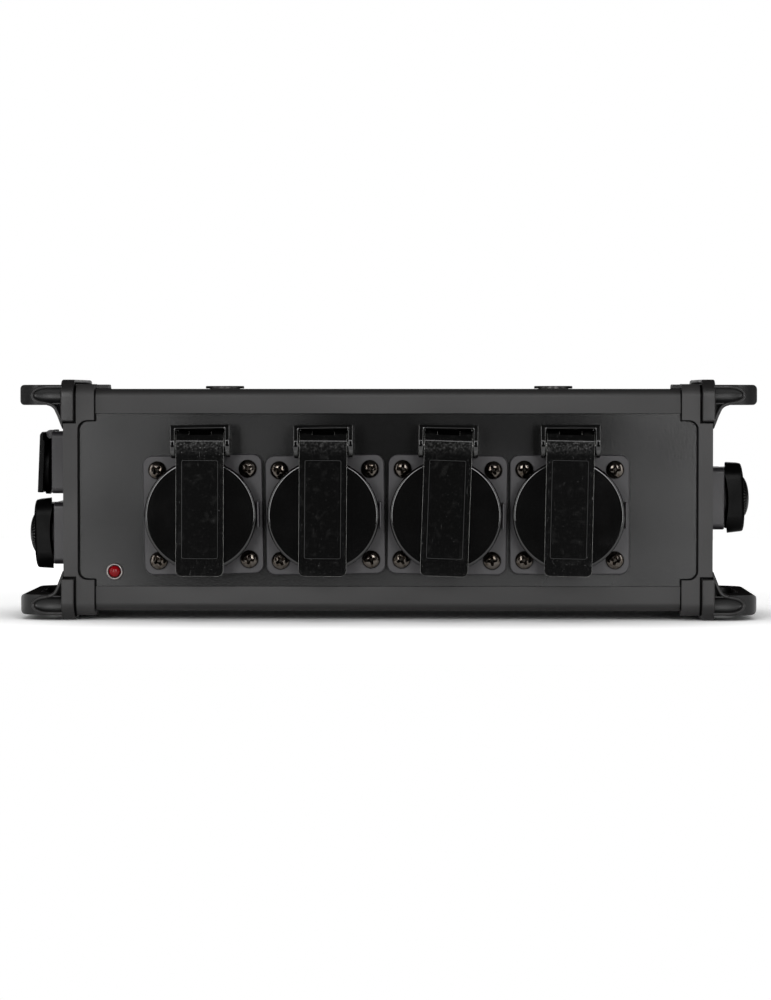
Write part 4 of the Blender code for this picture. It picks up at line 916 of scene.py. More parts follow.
@dataclass
class EndFrame(SubAssembly):
    """A cast ring at each end, with corner blocks over the extrusion."""

    depth: float = 76.3
    height: float = 97.4
    radius: float = 5.5
    back: float = 130.25
    block_end: float = 123.25
    block_leg: float = 15.1
    fillet: float = 4.0
    pocket: Triple = (72.9, 94.0, 3.8)
    rebate: Triple = (60.6, 79.0, 2.0)
    rebate_floor: float = 133.75
    opening: Triple = (49.0, 74.0, 6.0)
    edge: float = 0.45
    groove: Pair = (0.85, 1.5)
    # Black cords of painted shade along the frame's edge and in the gaps beside the straps.
    lap: float = 0.3
    shadow_cord: float = 0.5
    shadow_cord_y: float = -35.95
    shadow_cord_top: float = 2.6
    shadow_cord_inset: float = 0.12
    shadow_cord_depth: float = 0.62

    def grooves(self) -> list[Solid]:
        """The shadow gaps beside and below the bumpers' straps.

        Returns:
            What is cut for them.
        """
        wide, deep = self.groove
        start, level = FACE - STRAP_WIDTH - wide, BOX_HEIGHT / 2 - STRAP_LEG
        low, half = level - wide, self.depth / 2 + 2 * PAST
        outside = rounded(self.depth + 2 * PAST, self.height + 2 * PAST, self.radius + PAST)
        inside = rounded(self.depth - 2 * deep, self.height - 2 * deep, self.radius - deep)
        ring = Solid.prism(Axis.X, outside, start, start + wide + self.lap).minus(
            Solid.prism(Axis.X, inside, start - PAST, FACE),
            Solid.prism(Axis.X, bar(-half, half, -low, low), start - PAST, FACE),
        )
        feet = []
        for side in (-1, 1):
            near, far = sorted((side * (self.depth / 2 - deep), side * half))
            for bottom in (low, -level - self.lap):
                foot = bar(near, far, bottom, bottom + wide + self.lap)
                feet.append(Solid.prism(Axis.X, foot, start + 0.1, FACE + PAST))
        return [ring, *feet]

    def shadow_cord_paths(self) -> list[Line]:
        """The black cords of the right-hand frame, painted shade along its inner edge and in the gaps beside
        the straps.

        Returns:
            Their points.
        """
        leg, edge = self.height / 2 - self.block_leg, self.block_end - self.shadow_cord_inset
        line = [(edge, self.height / 2 - self.shadow_cord_top), (edge, leg - self.shadow_cord_inset)]
        line += arc((self.back - self.fillet, leg - self.fillet), self.fillet - self.shadow_cord_inset, 90, 0, 10)
        line += [(u, -v) for u, v in reversed(line)]
        x, level = FACE - STRAP_WIDTH - self.groove[0] / 2, BOX_HEIGHT / 2 - STRAP_LEG - self.groove[0] / 2
        deep = self.shadow_cord_depth
        half = self.depth / 2 - deep
        saddle = [(FACE, half, level), (x, half, level)]
        upper = arch(self.depth - 2 * deep, self.height - 2 * deep, self.radius - deep, 8)
        saddle += [(x, y, z) for y, z in upper]
        saddle += [(x, -half, level), (FACE, -half, level)]
        along_edge = [Vector((u, self.shadow_cord_y, v)) for u, v in line]
        return [along_edge, *([turn @ Vector(point) for point in saddle] for turn in (RIGHT, FLIP))]

    def solid(self) -> Solid:
        """The right-hand frame.

        Returns:
            Its shape.
        """
        shape = Solid.prism(Axis.X, rounded(self.depth, self.height, self.radius), self.block_end, FACE)
        window = 2 * (self.back - self.block_end + self.fillet)
        middle = (self.back - window / 2, 0.0)
        front = rounded(window, self.height - 2 * self.block_leg, self.fillet, middle)
        top = rounded(window, self.depth - 2 * self.block_leg, self.fillet, middle)
        cuts = (
            Solid.prism(Axis.X, rounded(*self.pocket), self.block_end - PAST, self.back),
            Solid.prism(Axis.Y, front, -self.depth, self.depth),
            Solid.prism(Axis.Z, top, -self.height, self.height),
            Solid.prism(Axis.X, rounded(*self.rebate), self.back - PAST, self.rebate_floor),
            Solid.prism(Axis.X, rounded(*self.opening), self.back - PAST, FACE + PAST),
        )
        return shape.minus(*cuts).softened(self.edge).minus(*self.grooves())

    def dress(self) -> None:
        """Makes both frames and the black cords of painted shade on them."""
        paths = [[matrix @ point for point in path] for path in self.shadow_cord_paths() for matrix in (LEFT, RIGHT)]
        self.shop.draw("end_frame_seals", paths, self.shadow_cord, 10, SOFT_BLACK)
        shape = self.solid()
        for side, matrix in (("left", LEFT), ("right", RIGHT)):
            node = f"end_frame_{side}"
            self.shop.finish(f"{node}_cast", shape.moved(matrix), [COATED_CASTING], "cast_metal", [node])


@dataclass
class Bumper(SubAssembly):
    """A strap round the frame's corners and, outside it, a horn with a finger gap and scooped faces."""

    strap_skin: float = 1.7
    strap_radius: float = 5.7
    cheek: float = 0.9
    cheek_inset: float = 0.3
    reach: float = 19.6
    drop: float = 2.2
    thick: float = 8.5
    edge_radius: float = 2.6
    side_inset: float = 1.7
    plan_radius: float = 15.0
    gusset: Triple = (6.9, 4.0, 18.5)
    gusset_turn_deg: float = 155.0
    toe: float = 0.3
    gap: Triple = (9.8, 40.0, 3.5)
    gap_start: float = 2.6
    rim: float = 0.8
    gusset_rim_width: float = 0.55
    scoop: Pair = (0.9, 13.2)
    scoop_depth: float = 2.6
    taper: float = 6.8
    pocket_depth: float = 6.0
    bead: float = 0.75
    bead_sunk: float = 0.25
    edge: float = 0.55
    strap_edge: float = 0.75
    plate_radius: float = 7.1

    @property
    def top(self) -> float:
        """The horn's upper side."""
        return BOX_HEIGHT / 2 - self.drop

    @property
    def under(self) -> float:
        """The horn's lower side."""
        return self.top - self.thick

    @property
    def band(self) -> Pair:
        """Middle and half height of the scooped part of a face."""
        return (self.top - self.thick / 2, self.thick / 2 - self.rim)

    def strap(self) -> Solid:
        """The saddle over the frame's corners, with the plate that closes it over the frame's face.

        Returns:
            Their shape, the saddle in slot 1 and the plate in slot 2.
        """
        half, bottom, inset = BOX_DEPTH / 2, BOX_HEIGHT / 2 - STRAP_LEG, self.cheek_inset
        wide, high = BOX_DEPTH - 2 * self.strap_skin, BOX_HEIGHT - 2 * self.strap_skin
        outside = arch(BOX_DEPTH, BOX_HEIGHT, self.strap_radius + self.strap_skin)
        band = [(half, bottom), *outside, (-half, bottom), (-wide / 2, bottom)]
        band += [*arch(wide, high, self.strap_radius)[::-1], (wide / 2, bottom)]
        saddle = Solid.prism(Axis.X, band, FACE - STRAP_WIDTH, FACE + self.cheek)
        outside = arch(BOX_DEPTH - 2 * inset, BOX_HEIGHT - 2 * inset, self.plate_radius)
        plate = [(half - 0.5, bottom + inset), *outside, (-half + 0.5, bottom + inset)]
        closing = Solid.prism(Axis.X, plate, FACE + inset, FACE + self.cheek - 0.1)
        return saddle.softened(self.strap_edge, 4).painted(1).beside(closing.painted(2))

    def side_outline(self) -> Outline:
        """The horn from the front.

        Returns:
            The outline as (along the box, height).
        """
        corner, rounding = FACE + self.reach - self.edge_radius, self.edge_radius
        reach, radius, foot = self.gusset
        outline = [(FACE + self.toe, self.top)]
        outline += arc((corner, self.top - rounding), rounding, 90, 0, 8)
        outline += arc((corner, self.under + rounding), rounding, 0, -90, 8)
        outline += arc((FACE + reach, self.under - radius), radius, 90, self.gusset_turn_deg, 12)
        return [*outline, (FACE + self.toe, self.top - foot)]

    def face(self, along: float) -> float:
        """Half the horn's depth, which falls off round its corners.

        Args:
            along: Place outwards from the frame's face.

        Returns:
            The half depth.
        """
        half = BOX_DEPTH / 2 - self.side_inset
        past = max(0.0, along - (self.reach - self.plan_radius))
        return half - self.plan_radius + math.sqrt(self.plan_radius**2 - past**2)

    def scoop_cutter(self, sign: float) -> Solid:
        """What is scooped out of a horn's face, with a round end.

        Args:
            sign: Which face, 1 or -1.

        Returns:
            The cutter.
        """
        columns, rows = 30, 12
        start, end = self.scoop
        middle, half = self.band
        rings = []
        for c in range(columns + 1):
            along = start + (end - 0.02 - start) * math.sin(math.pi / 2 * c / columns)
            past = max(0.0, along - (end - self.taper))
            rise = half * math.sqrt(1 - (past / self.taper) ** 2)
            deep, face = self.scoop_depth * (rise / half) ** 0.7, self.face(along)
            ring = []
            for r in range(rows + 1):
                height = middle + rise * math.cos(math.pi * r / rows)
                sink = deep * math.sin(math.pi * r / rows) ** 0.9
                ring.append((FACE + along, sign * (face - sink), height))
            ring += [(FACE + along, sign * (face + 2 * PAST), middle + level * rise) for level in (-1, 1)]
            rings.append(ring)
        return Solid.grid(rings)

    def gusset_rim(self, steps: int = 10) -> Outline:
        """The line that runs inside the gusset's edge, from the horn to the frame.

        Args:
            steps: Chords in its bend.

        Returns:
            The points as (outwards, height).
        """
        reach, radius, _ = self.gusset
        middle, bend = (reach, self.under - radius), radius + self.gusset_rim_width
        line = arc(middle, bend, 90, self.gusset_turn_deg, steps)
        turn, (last, height) = math.radians(self.gusset_turn_deg), line[-1]
        return [*line, (0.5, height - (last - 0.5) * -math.cos(turn) / math.sin(turn))]

    def pocket_cutter(self, sign: float) -> Solid:
        """The deep corner between the horn and its gusset.

        Args:
            sign: Which face, 1 or -1.

        Returns:
            The cutter.
        """
        level, face = self.under + 0.4, self.face(0.0)
        below = [point for point in self.gusset_rim(24) if point[1] < level]
        outline = [(FACE + u, v) for u, v in [(0.6, level), (below[0][0], level), *below]]
        ends = sorted((sign * (face - self.pocket_depth), sign * (face + 2 * PAST)))
        return Solid.prism(Axis.Y, outline, *ends)

    def rims(self) -> list[Line]:
        """The rounded ridges along the scoops and gussets, front and rear.

        Returns:
            Their paths.
        """
        start, bend = self.scoop[0], self.scoop[1] - self.taper
        middle, half = self.band
        line = [(start - 0.5 + k, middle + half) for k in range(int(bend - start))]
        line += fan((bend, middle), self.taper, half, math.pi / 24, 24) + self.gusset_rim()
        sunk = self.bead_sunk
        return [[Vector((FACE + u, sign * (self.face(u) - sunk), v)) for u, v in line] for sign in (1, -1)]

    def horn(self) -> Solid:
        """The horn with its gap and scoops.

        Returns:
            Its shape.
        """
        plan = rounded(2 * self.reach, BOX_DEPTH - 2 * self.side_inset, self.plan_radius, (FACE, 0.0), 14)
        gap = rounded(*self.gap, (FACE + self.gap_start + self.gap[0] / 2, 0.0))
        horn = Solid.prism(Axis.Y, self.side_outline(), -BOX_DEPTH / 2, BOX_DEPTH / 2)
        horn = horn.combined(Join.INTERSECT, Solid.prism(Axis.Z, plan, 0.0, BOX_HEIGHT))
        horn = horn.minus(Solid.prism(Axis.Z, gap, 0.0, BOX_HEIGHT)).softened(self.edge)
        cutters = [cut(sign) for sign in (1, -1) for cut in (self.scoop_cutter, self.pocket_cutter)]
        return horn.minus(*cutters).painted(2, Axis.Z, 0.9)

    def dress(self) -> None:
        """Makes the four bumpers and the ridges on them."""
        shape, rims = self.horn().beside(self.strap()), self.rims()
        blacks = [MOULDED_NYLON, NYLON_PAINTED_LIGHTER, MATT_NYLON]
        ridges = []
        for side, across in (("left", LEFT), ("right", RIGHT)):
            for level, turn in (("upper", RIGHT), ("lower", FLIP)):
                node, place = f"bumper_{side}_{level}", across @ turn
                self.shop.finish(f"{node}_moulding", shape.moved(place), blacks, "moulded_black", [node])
                ridges += [[place @ point for point in path] for path in rims]
        self.shop.draw("bumper_rims", ridges, self.bead, 12, NYLON_PAINTED_LIGHTER, slot="moulded_black")


@dataclass
class ClampInserts(SubAssembly):
    """Two threaded inserts on the top for hanging clamps."""

    spread: float = 141.2
    seat_z: float = 46.9
    flange: float = 8.25
    flange_thick: float = 1.1
    edge: float = 0.4
    barrel: float = 6.5
    bore: float = 4.3
    mouth: float = 0.8
    length: float = 15.0
    pitch: float = 1.5
    crest: float = 0.42
    per_turn: int = 20

    def solid(self) -> Solid:
        """One insert about its own axis.

        Returns:
            Its shape.
        """
        top, bottom = self.seat_z + self.flange_thick, self.seat_z - 0.2 - self.length
        profile = [(self.bore, bottom), (self.bore, top - self.mouth), (self.bore + self.mouth, top)]
        profile += arc((self.flange - self.edge, top - self.edge), self.edge, 90, 0, 4)
        profile += [(self.flange, self.seat_z), (self.barrel, self.seat_z), (self.barrel, bottom)]
        return Solid.lathe(Axis.Z, profile, 64)

    def thread(self) -> Line:
        """The thread's path about its own axis.

        Returns:
            Its points.
        """
        start, radius = self.seat_z - self.length + 0.6, self.bore + 0.12
        points = []
        for k in range(int((self.length - 2) / self.pitch) * self.per_turn + 1):
            angle = 2 * math.pi * k / self.per_turn
            ring = Vector((math.cos(angle), math.sin(angle), 0.0)) * radius
            points.append(ring + Vector((0.0, 0.0, start + self.pitch * k / self.per_turn)))
        return points

    def dress(self) -> None:
        """Makes both inserts and their threads."""
        shape, thread = self.solid(), self.thread()
        threads = []
        for side, sign in (("left", -1), ("right", 1)):
            node, place = f"clamp_insert_{side}", Matrix.Translation((sign * self.spread / 2, 0.0, 0.0))
            self.shop.finish(
                f"{node}_turned", shape.moved(place), [BLACK_STEEL], "black_steel", [node], sharp_deg=30
            )
            threads.append([place @ point for point in thread])
        self.shop.draw("clamp_insert_threads", threads, self.crest, 5, BLACK_STEEL, slot="black_steel")


@dataclass
class Lamp(SubAssembly):
    """The red indicator lamp in its ring."""

    place: Pair = (-114.9, -30.1)
    panel: float = -35.0
    lens: float = 2.4
    lens_rise: float = 1.6
    lens_length: float = 7.0
    ring: float = 3.6
    ring_stands: float = 1.4
    ring_length: float = 8.8
    neck: float = 3.0
    bore: float = 2.6

    def dress(self) -> None:
        """Makes the lens and the ring."""
        rim, front, seat = self.panel - 1.0, self.panel - self.ring_stands, self.panel - 0.2
        end = front + self.ring_length
        dome = fan((0.0, rim), self.lens, -self.lens_rise, math.pi / 24, 12)
        dome += [(self.lens, rim + self.lens_length), (0.0, rim + self.lens_length)]
        lens = Solid.lathe(Axis.Y, dome, 40, self.place)
        self.shop.finish("indicator_lens_dome", lens, [RED_LENS], "red_lens", ["indicator_lens"])
        loop = [(self.bore, end), (self.bore, front + 0.35)]
        loop += arc((self.bore + 0.5, front + 0.5), 0.5, 180, 270, 4)
        loop += arc((self.ring - 0.7, front + 0.7), 0.7, 270, 360, 5)
        loop += [(self.ring, seat), (self.neck, seat), (self.neck, end)]
        ring = Solid.lathe(Axis.Y, loop, 48, self.place)
        self.shop.finish("indicator_ring", ring, [SATIN_NICKEL], "bright_ring", ["indicator_bezel"])


@dataclass
class Socket(SubAssembly):
    """One flush socket: flange, collar and well, sprung lid with its pull strap, pin, spring and screws."""

    number: int
    x: float
    twist_deg: float
    row_z: float = -6.1
    side: float = 50.0
    corner: float = 4.0
    flange: Pair = (-38.2, -35.2)
    collar: float = 21.4
    collar_front: float = -45.2
    well: float = 19.5
    well_floor: float = -27.7
    back: float = -9.0
    edge: float = 0.5
    lip: float = 0.6
    contacts_x: Pair = (-9.5, 9.5)
    contact_hole: float = 2.7
    sleeve: Pair = (1.9, 2.55)
    stop: tuple[float, float, float, float] = (22.95, 23.8, -5.5, 5.5)
    stop_front: float = -46.6
    hinge: Pair = (-46.2, 29.8)
    hinge_top: float = 37.8
    hinge_half: float = 12.5
    ear: float = 2.2
    ear_radius: float = 5.8
    roof: Pair = (1.5, 11.3)
    hinge_edge: float = 0.6
    lid_radius: float = 23.4
    lid_front: float = -48.2
    lid_back: float = -45.7
    lid_edge: float = 1.2
    skirt: Pair = (4.8, 0.9)
    gasket: Pair = (19.8, 22.2)
    strap_half: float = 9.95
    strap_front: float = -51.7
    strap_bottom: float = -25.2
    barrel: float = 5.5
    strap_corner: float = 2.5
    strap_edge: float = 1.1
    pin_bore: float = 1.7
    spring_slot: Pair = (3.9, 4.6)
    label: Triple = (14.8, 40.6, 2.6)
    label_depth: float = 0.3
    line: float = 0.13
    lean_deg: float = 1.2
    pin: float = 1.25
    pin_end: float = 0.3
    spring: Pair = (2.4, 6.4)
    spring_turns: int = 6
    screw_spacing: float = 38.0

    def place(self) -> Matrix:
        """From the socket's own middle to the box's."""
        turn = Matrix.Rotation(-math.radians(self.twist_deg), 4, "Y")
        return Matrix.Translation((self.x, 0.0, self.row_z)) @ turn

    def lid_place(self) -> Matrix:
        """The same for the lid, which leans a little in its hinge."""
        hinge = Matrix.Translation((0.0, *self.hinge))
        return self.place() @ hinge @ Matrix.Rotation(math.radians(self.lean_deg), 4, "Y") @ hinge.inverted()

    def body(self) -> Solid:
        """The square flange, the collar and well with the contacts' holes, and the lid's stop beside them.

        Returns:
            Their shape.
        """
        front, back = self.flange
        floor, inside, outside, lip = self.well_floor, self.well, self.collar, self.lip
        plate = Solid.prism(Axis.Y, rounded(self.side, self.side, self.corner, steps=10), front, back)
        hole = Solid.rod(Axis.Y, outside - lip, front - PAST, back + PAST, sides=96)
        profile = [(0.0, floor), *arc((inside - 1.0, floor - 1.0), 1.0, 90, 0, 5)]
        profile += arc((inside + lip, self.collar_front + lip), lip, 180, 270, 4)
        profile += arc((outside - lip, self.collar_front + lip), lip, 270, 360, 4)
        profile += [(outside, self.back), (0.0, self.back)]
        span = (self.contact_hole, floor - PAST, floor + 10)
        cup = Solid.lathe(Axis.Y, profile, 96)
        cup = cup.minus(*(Solid.rod(Axis.Y, *span, (x, 0.0), 24) for x in self.contacts_x))
        stop = Solid.prism(Axis.Y, bar(*self.stop), self.stop_front, front + 0.5).softened(0.3, 3)
        return plate.minus(hole).softened(self.edge).beside(cup, stop)

    def hinge_base(self) -> Solid:
        """The block that carries the pin: back plate, roof and two ears.

        Returns:
            Its shape, its flat faces to front and rear in slot 2 and the others in slot 1.
        """
        front, behind, z = self.flange[0], self.flange[1] - 0.2, self.hinge[1]
        side = [(behind, z - self.ear_radius + 0.5), *arc(self.hinge, self.ear_radius, 270, 150, 12)]
        side += [(front - self.roof[1], self.hinge_top), (behind, self.hinge_top)]
        block = Solid.prism(Axis.X, side, -self.hinge_half, self.hinge_half)
        inside, under = self.hinge_half - self.ear, self.hinge_top - self.roof[0]
        room = [(front, 0.0), (front, under), (-80.0, under), (-80.0, 0.0)]
        block = block.minus(Solid.prism(Axis.X, room, -inside, inside)).softened(self.hinge_edge, 4)
        return block.painted(1).painted(2, Axis.Y, 0.99)

    def clips(self) -> Solid:
        """The two earth clips at the well's top and bottom.

        Returns:
            Their shape.
        """
        foot, wall = self.well_floor - 0.2, self.well - 0.3
        outer = [(foot, wall), (-36.5, wall), (-39.0, wall - 2.6), (-41.2, wall - 0.6)]
        inner = [(-41.0, wall - 1.3), (-39.0, wall - 3.5), (-36.2, wall - 0.9), (foot, wall - 0.9)]
        clip = Solid.prism(Axis.X, outer + inner, -3.0, 3.0)
        return clip.beside(clip.moved(FLIP))

    def contacts(self) -> Solid:
        """The two contact sleeves in the well's floor.

        Returns:
            Their shape.
        """
        (inner, outer), front, back = self.sleeve, self.well_floor + 0.5, self.well_floor + 9.5
        loop = [(inner, front), (inner, back), (outer, back), (outer, front)]
        first, second = (Solid.lathe(Axis.Y, loop, 24, (x, 0.0)) for x in self.contacts_x)
        return first.beside(second)

    def lid_disc(self) -> Solid:
        """The round lid with its skirt.

        Returns:
            Its shape.
        """
        edge, front, rounding, (low, wall) = self.lid_radius, self.lid_front, self.lid_edge, self.skirt
        profile = [(0.0, front), *arc((edge - rounding, front + rounding), rounding, 270, 360, 12)]
        profile += [(edge, front + low - 0.2), (edge - 0.2, front + low), (edge - wall, front + low)]
        profile += [(edge - wall, self.lid_back), (0.0, self.lid_back)]
        return Solid.lathe(Axis.Y, profile, 128)

    def strap(self) -> Solid:
        """The pull strap, which wraps round the pin and runs down over the lid, with its sunk label field.

        Returns:
            Its shape.
        """
        (y, z), front, bottom = self.hinge, self.strap_front, self.strap_bottom
        back = self.lid_front + 0.3
        end_angle = math.degrees(math.acos((back - y) / self.barrel))
        side = [(front, bottom), *arc(self.hinge, self.barrel, 180, -end_angle, 36), (back, bottom)]
        tall = z + self.barrel + 10 - bottom
        front_view = rounded(2 * self.strap_half, tall, self.strap_corner, (0.0, bottom + tall / 2))
        shape = Solid.prism(Axis.X, side, -self.strap_half, self.strap_half)
        shape = shape.combined(Join.INTERSECT, Solid.prism(Axis.Y, front_view, -60.0, -30.0))
        room, half = self.spring_slot
        slot = Solid.prism(Axis.X, bar(y - room, y + 11, z - room, z + 11), -half, half)
        bore = Solid.rod(Axis.X, self.pin_bore, -15.0, 15.0, self.hinge, 24)
        shape = shape.minus(slot, bore).softened(self.strap_edge, 5)
        wide, high, middle = self.label
        recess = rounded(wide, high, 0.6, (0.0, middle), 5)
        floor = rounded(wide - 0.06, high - 0.06, 0.57, (0.0, middle), 5)
        sections = ((front - 0.5, recess), (front, recess), (front + self.label_depth, floor))
        return shape.minus(Solid.loft(Axis.Y, sections))

    def label_line(self) -> Line:
        """The thin raised line round the strap's label field.

        Returns:
            Its path.
        """
        wide, high, middle = self.label
        line, place = rounded(wide + 0.2, high + 0.2, 0.7, (0.0, middle), 4), self.lid_place()
        return [place @ Vector((u, self.strap_front - 0.02, v)) for u, v in [*line, line[0]]]

    def spring_path(self) -> Line:
        """The torsion spring with its leg to the back plate.

        Returns:
            Its points.
        """
        (radius, width), (y, z), turns = self.spring, self.hinge, self.spring_turns
        points = []
        for k in range(turns * 16 + 1):
            share = k / (turns * 16)
            angle = math.radians(90) - 2 * math.pi * turns * (1 - share)
            points.append((width * (share - 0.5), y + radius * math.cos(angle), z + radius * math.sin(angle)))
        points.append((width / 2, self.flange[0] - 0.4, z + radius))
        place = self.place()
        return [place @ Vector(point) for point in points]

    def screw_places(self, seed: int) -> list[Matrix]:
        """Where the four screws sit, each turned at random.

        Args:
            seed: Fixes the turns.

        Returns:
            The matrices.
        """
        turns, half, places = random.Random(seed), self.screw_spacing / 2, []
        for level in (1, -1):
            for side in (-1, 1):
                spin = Matrix.Rotation(turns.uniform(0.0, math.pi / 2), 4, "Y")
                seat = Matrix.Translation((side * half, self.flange[0] - 0.2, level * half))
                places.append(self.place() @ seat @ spin)
        return places

    def dress(self) -> None:
        """Makes the socket's own pieces; springs and screws are made for all sockets together."""
        finish, place, lid_place = self.shop.finish, self.place(), self.lid_place()
        name, lid = f"socket_{self.number}", f"socket_{self.number}_lid"
        body, greys = self.body().beside(self.hinge_base()), [SOCKET_GREY, HINGE_BLACK, MATT_BLACK]
        finish(f"{name}_moulding", body.moved(place), greys, "grey_thermoplastic", [f"{name}_body"])
        cover = self.lid_disc().beside(self.strap().painted(1)).moved(lid_place)
        finish(f"{name}_cover", cover, [LID_BLACK, STRAP_BLACK], "gloss_black", [lid], lid)
        ring = Solid.lathe(Axis.Y, bar(*self.gasket, self.lid_back - 0.02, self.lid_back + 0.38), 96)
        finish(f"{name}_gasket", ring.moved(lid_place), [RUBBER], body=lid)
        facts = {"slot": "gloss_black", "body": lid}
        self.shop.draw(f"{name}_label_line", [self.label_line()], self.line, 8, RUBBER, **facts)
        radius, end, tip = self.pin, self.hinge_half - self.pin_end, self.pin_end
        profile = [(0.0, -end), (radius - tip, -end), (radius, -end + tip)]
        profile += [(radius, end - tip), (radius - tip, end), (0.0, end)]
        pin = Solid.lathe(Axis.X, profile, 24, self.hinge).moved(place)
        finish(f"{name}_pin", pin, [BRIGHT_STEEL], "steel", [f"{name}_hinge_pin"])
        finish(f"{name}_earth_clips", self.clips().moved(place), [BRIGHT_STEEL], "steel", sharp_deg=20)
        finish(f"{name}_contacts", self.contacts().moved(place), [BRASS])


@dataclass
class SocketRow(SubAssembly):
    """The four sockets, with the screws and springs that they share a shape in."""

    twists: tuple[float, ...] = (1.0, 0.8, -0.8, 0.0)
    first_x: float = -77.3
    pitch: float = 51.2
    head: float = 3.8
    head_height: float = 2.4
    crown: float = 1.9
    shank: Pair = (1.6, 9.0)
    cross: Triple = (2.1, 0.5, 0.35)
    spring_wire: float = 0.35
    seed: int = 11

    def screw(self) -> Solid:
        """A pan-head screw with a cross recess, its head's underside at the origin.

        Returns:
            Its shape.
        """
        head, front, (shank, length) = self.head, -self.head_height, self.shank
        angles = (0.25, 0.5, 0.75, 1.0, 1.25)
        profile = [(0.0, front)]
        profile += [(head * math.sin(a), front + self.crown * (1 - math.cos(a))) for a in angles]
        profile += [(head, front + 1.75), (head, -0.15), (head - 0.15, 0.0)]
        profile += [(shank, 0.0), (shank, length), (0.0, length)]
        arm, half, taper = self.cross
        corners = ((arm, -half), (arm, half), (half * 1.5, half * 1.5))
        cross: Outline = []
        for quarter in range(4):
            turn = Matrix.Rotation(math.radians(90 * quarter), 2)
            cross += [tuple(turn @ Vector(corner)) for corner in corners]
        tip = [(u * taper, v * taper) for u, v in cross]
        recess = Solid.loft(Axis.Y, ((front - PAST, cross), (front + 0.35, cross), (front + 1.8, tip)))
        return Solid.lathe(Axis.Y, profile, 28).minus(recess)

    def dress(self) -> None:
        """Makes every socket, then all the screws and all the springs."""
        sockets = []
        for k, twist in enumerate(self.twists):
            sockets.append(Socket(self.shop, k + 1, self.first_x + k * self.pitch, twist))
            sockets[-1].dress()
        places = [place for socket in sockets for place in socket.screw_places(self.seed + socket.number)]
        nodes = [f"socket_{socket.number}_screw_{k}" for socket in sockets for k in (1, 2, 3, 4)]
        facts = {"slot": "screw_metal", "stands_for": nodes, "sharp_deg": 35}
        self.shop.repeat("socket_screws", self.screw(), places, DARK_NICKEL, **facts)
        paths = [socket.spring_path() for socket in sockets]
        nodes = [f"socket_{socket.number}_hinge_spring" for socket in sockets]
        facts = {"slot": "steel", "stands_for": nodes}
        self.shop.draw("socket_hinge_springs", paths, self.spring_wire, 8, BRIGHT_STEEL, **facts)


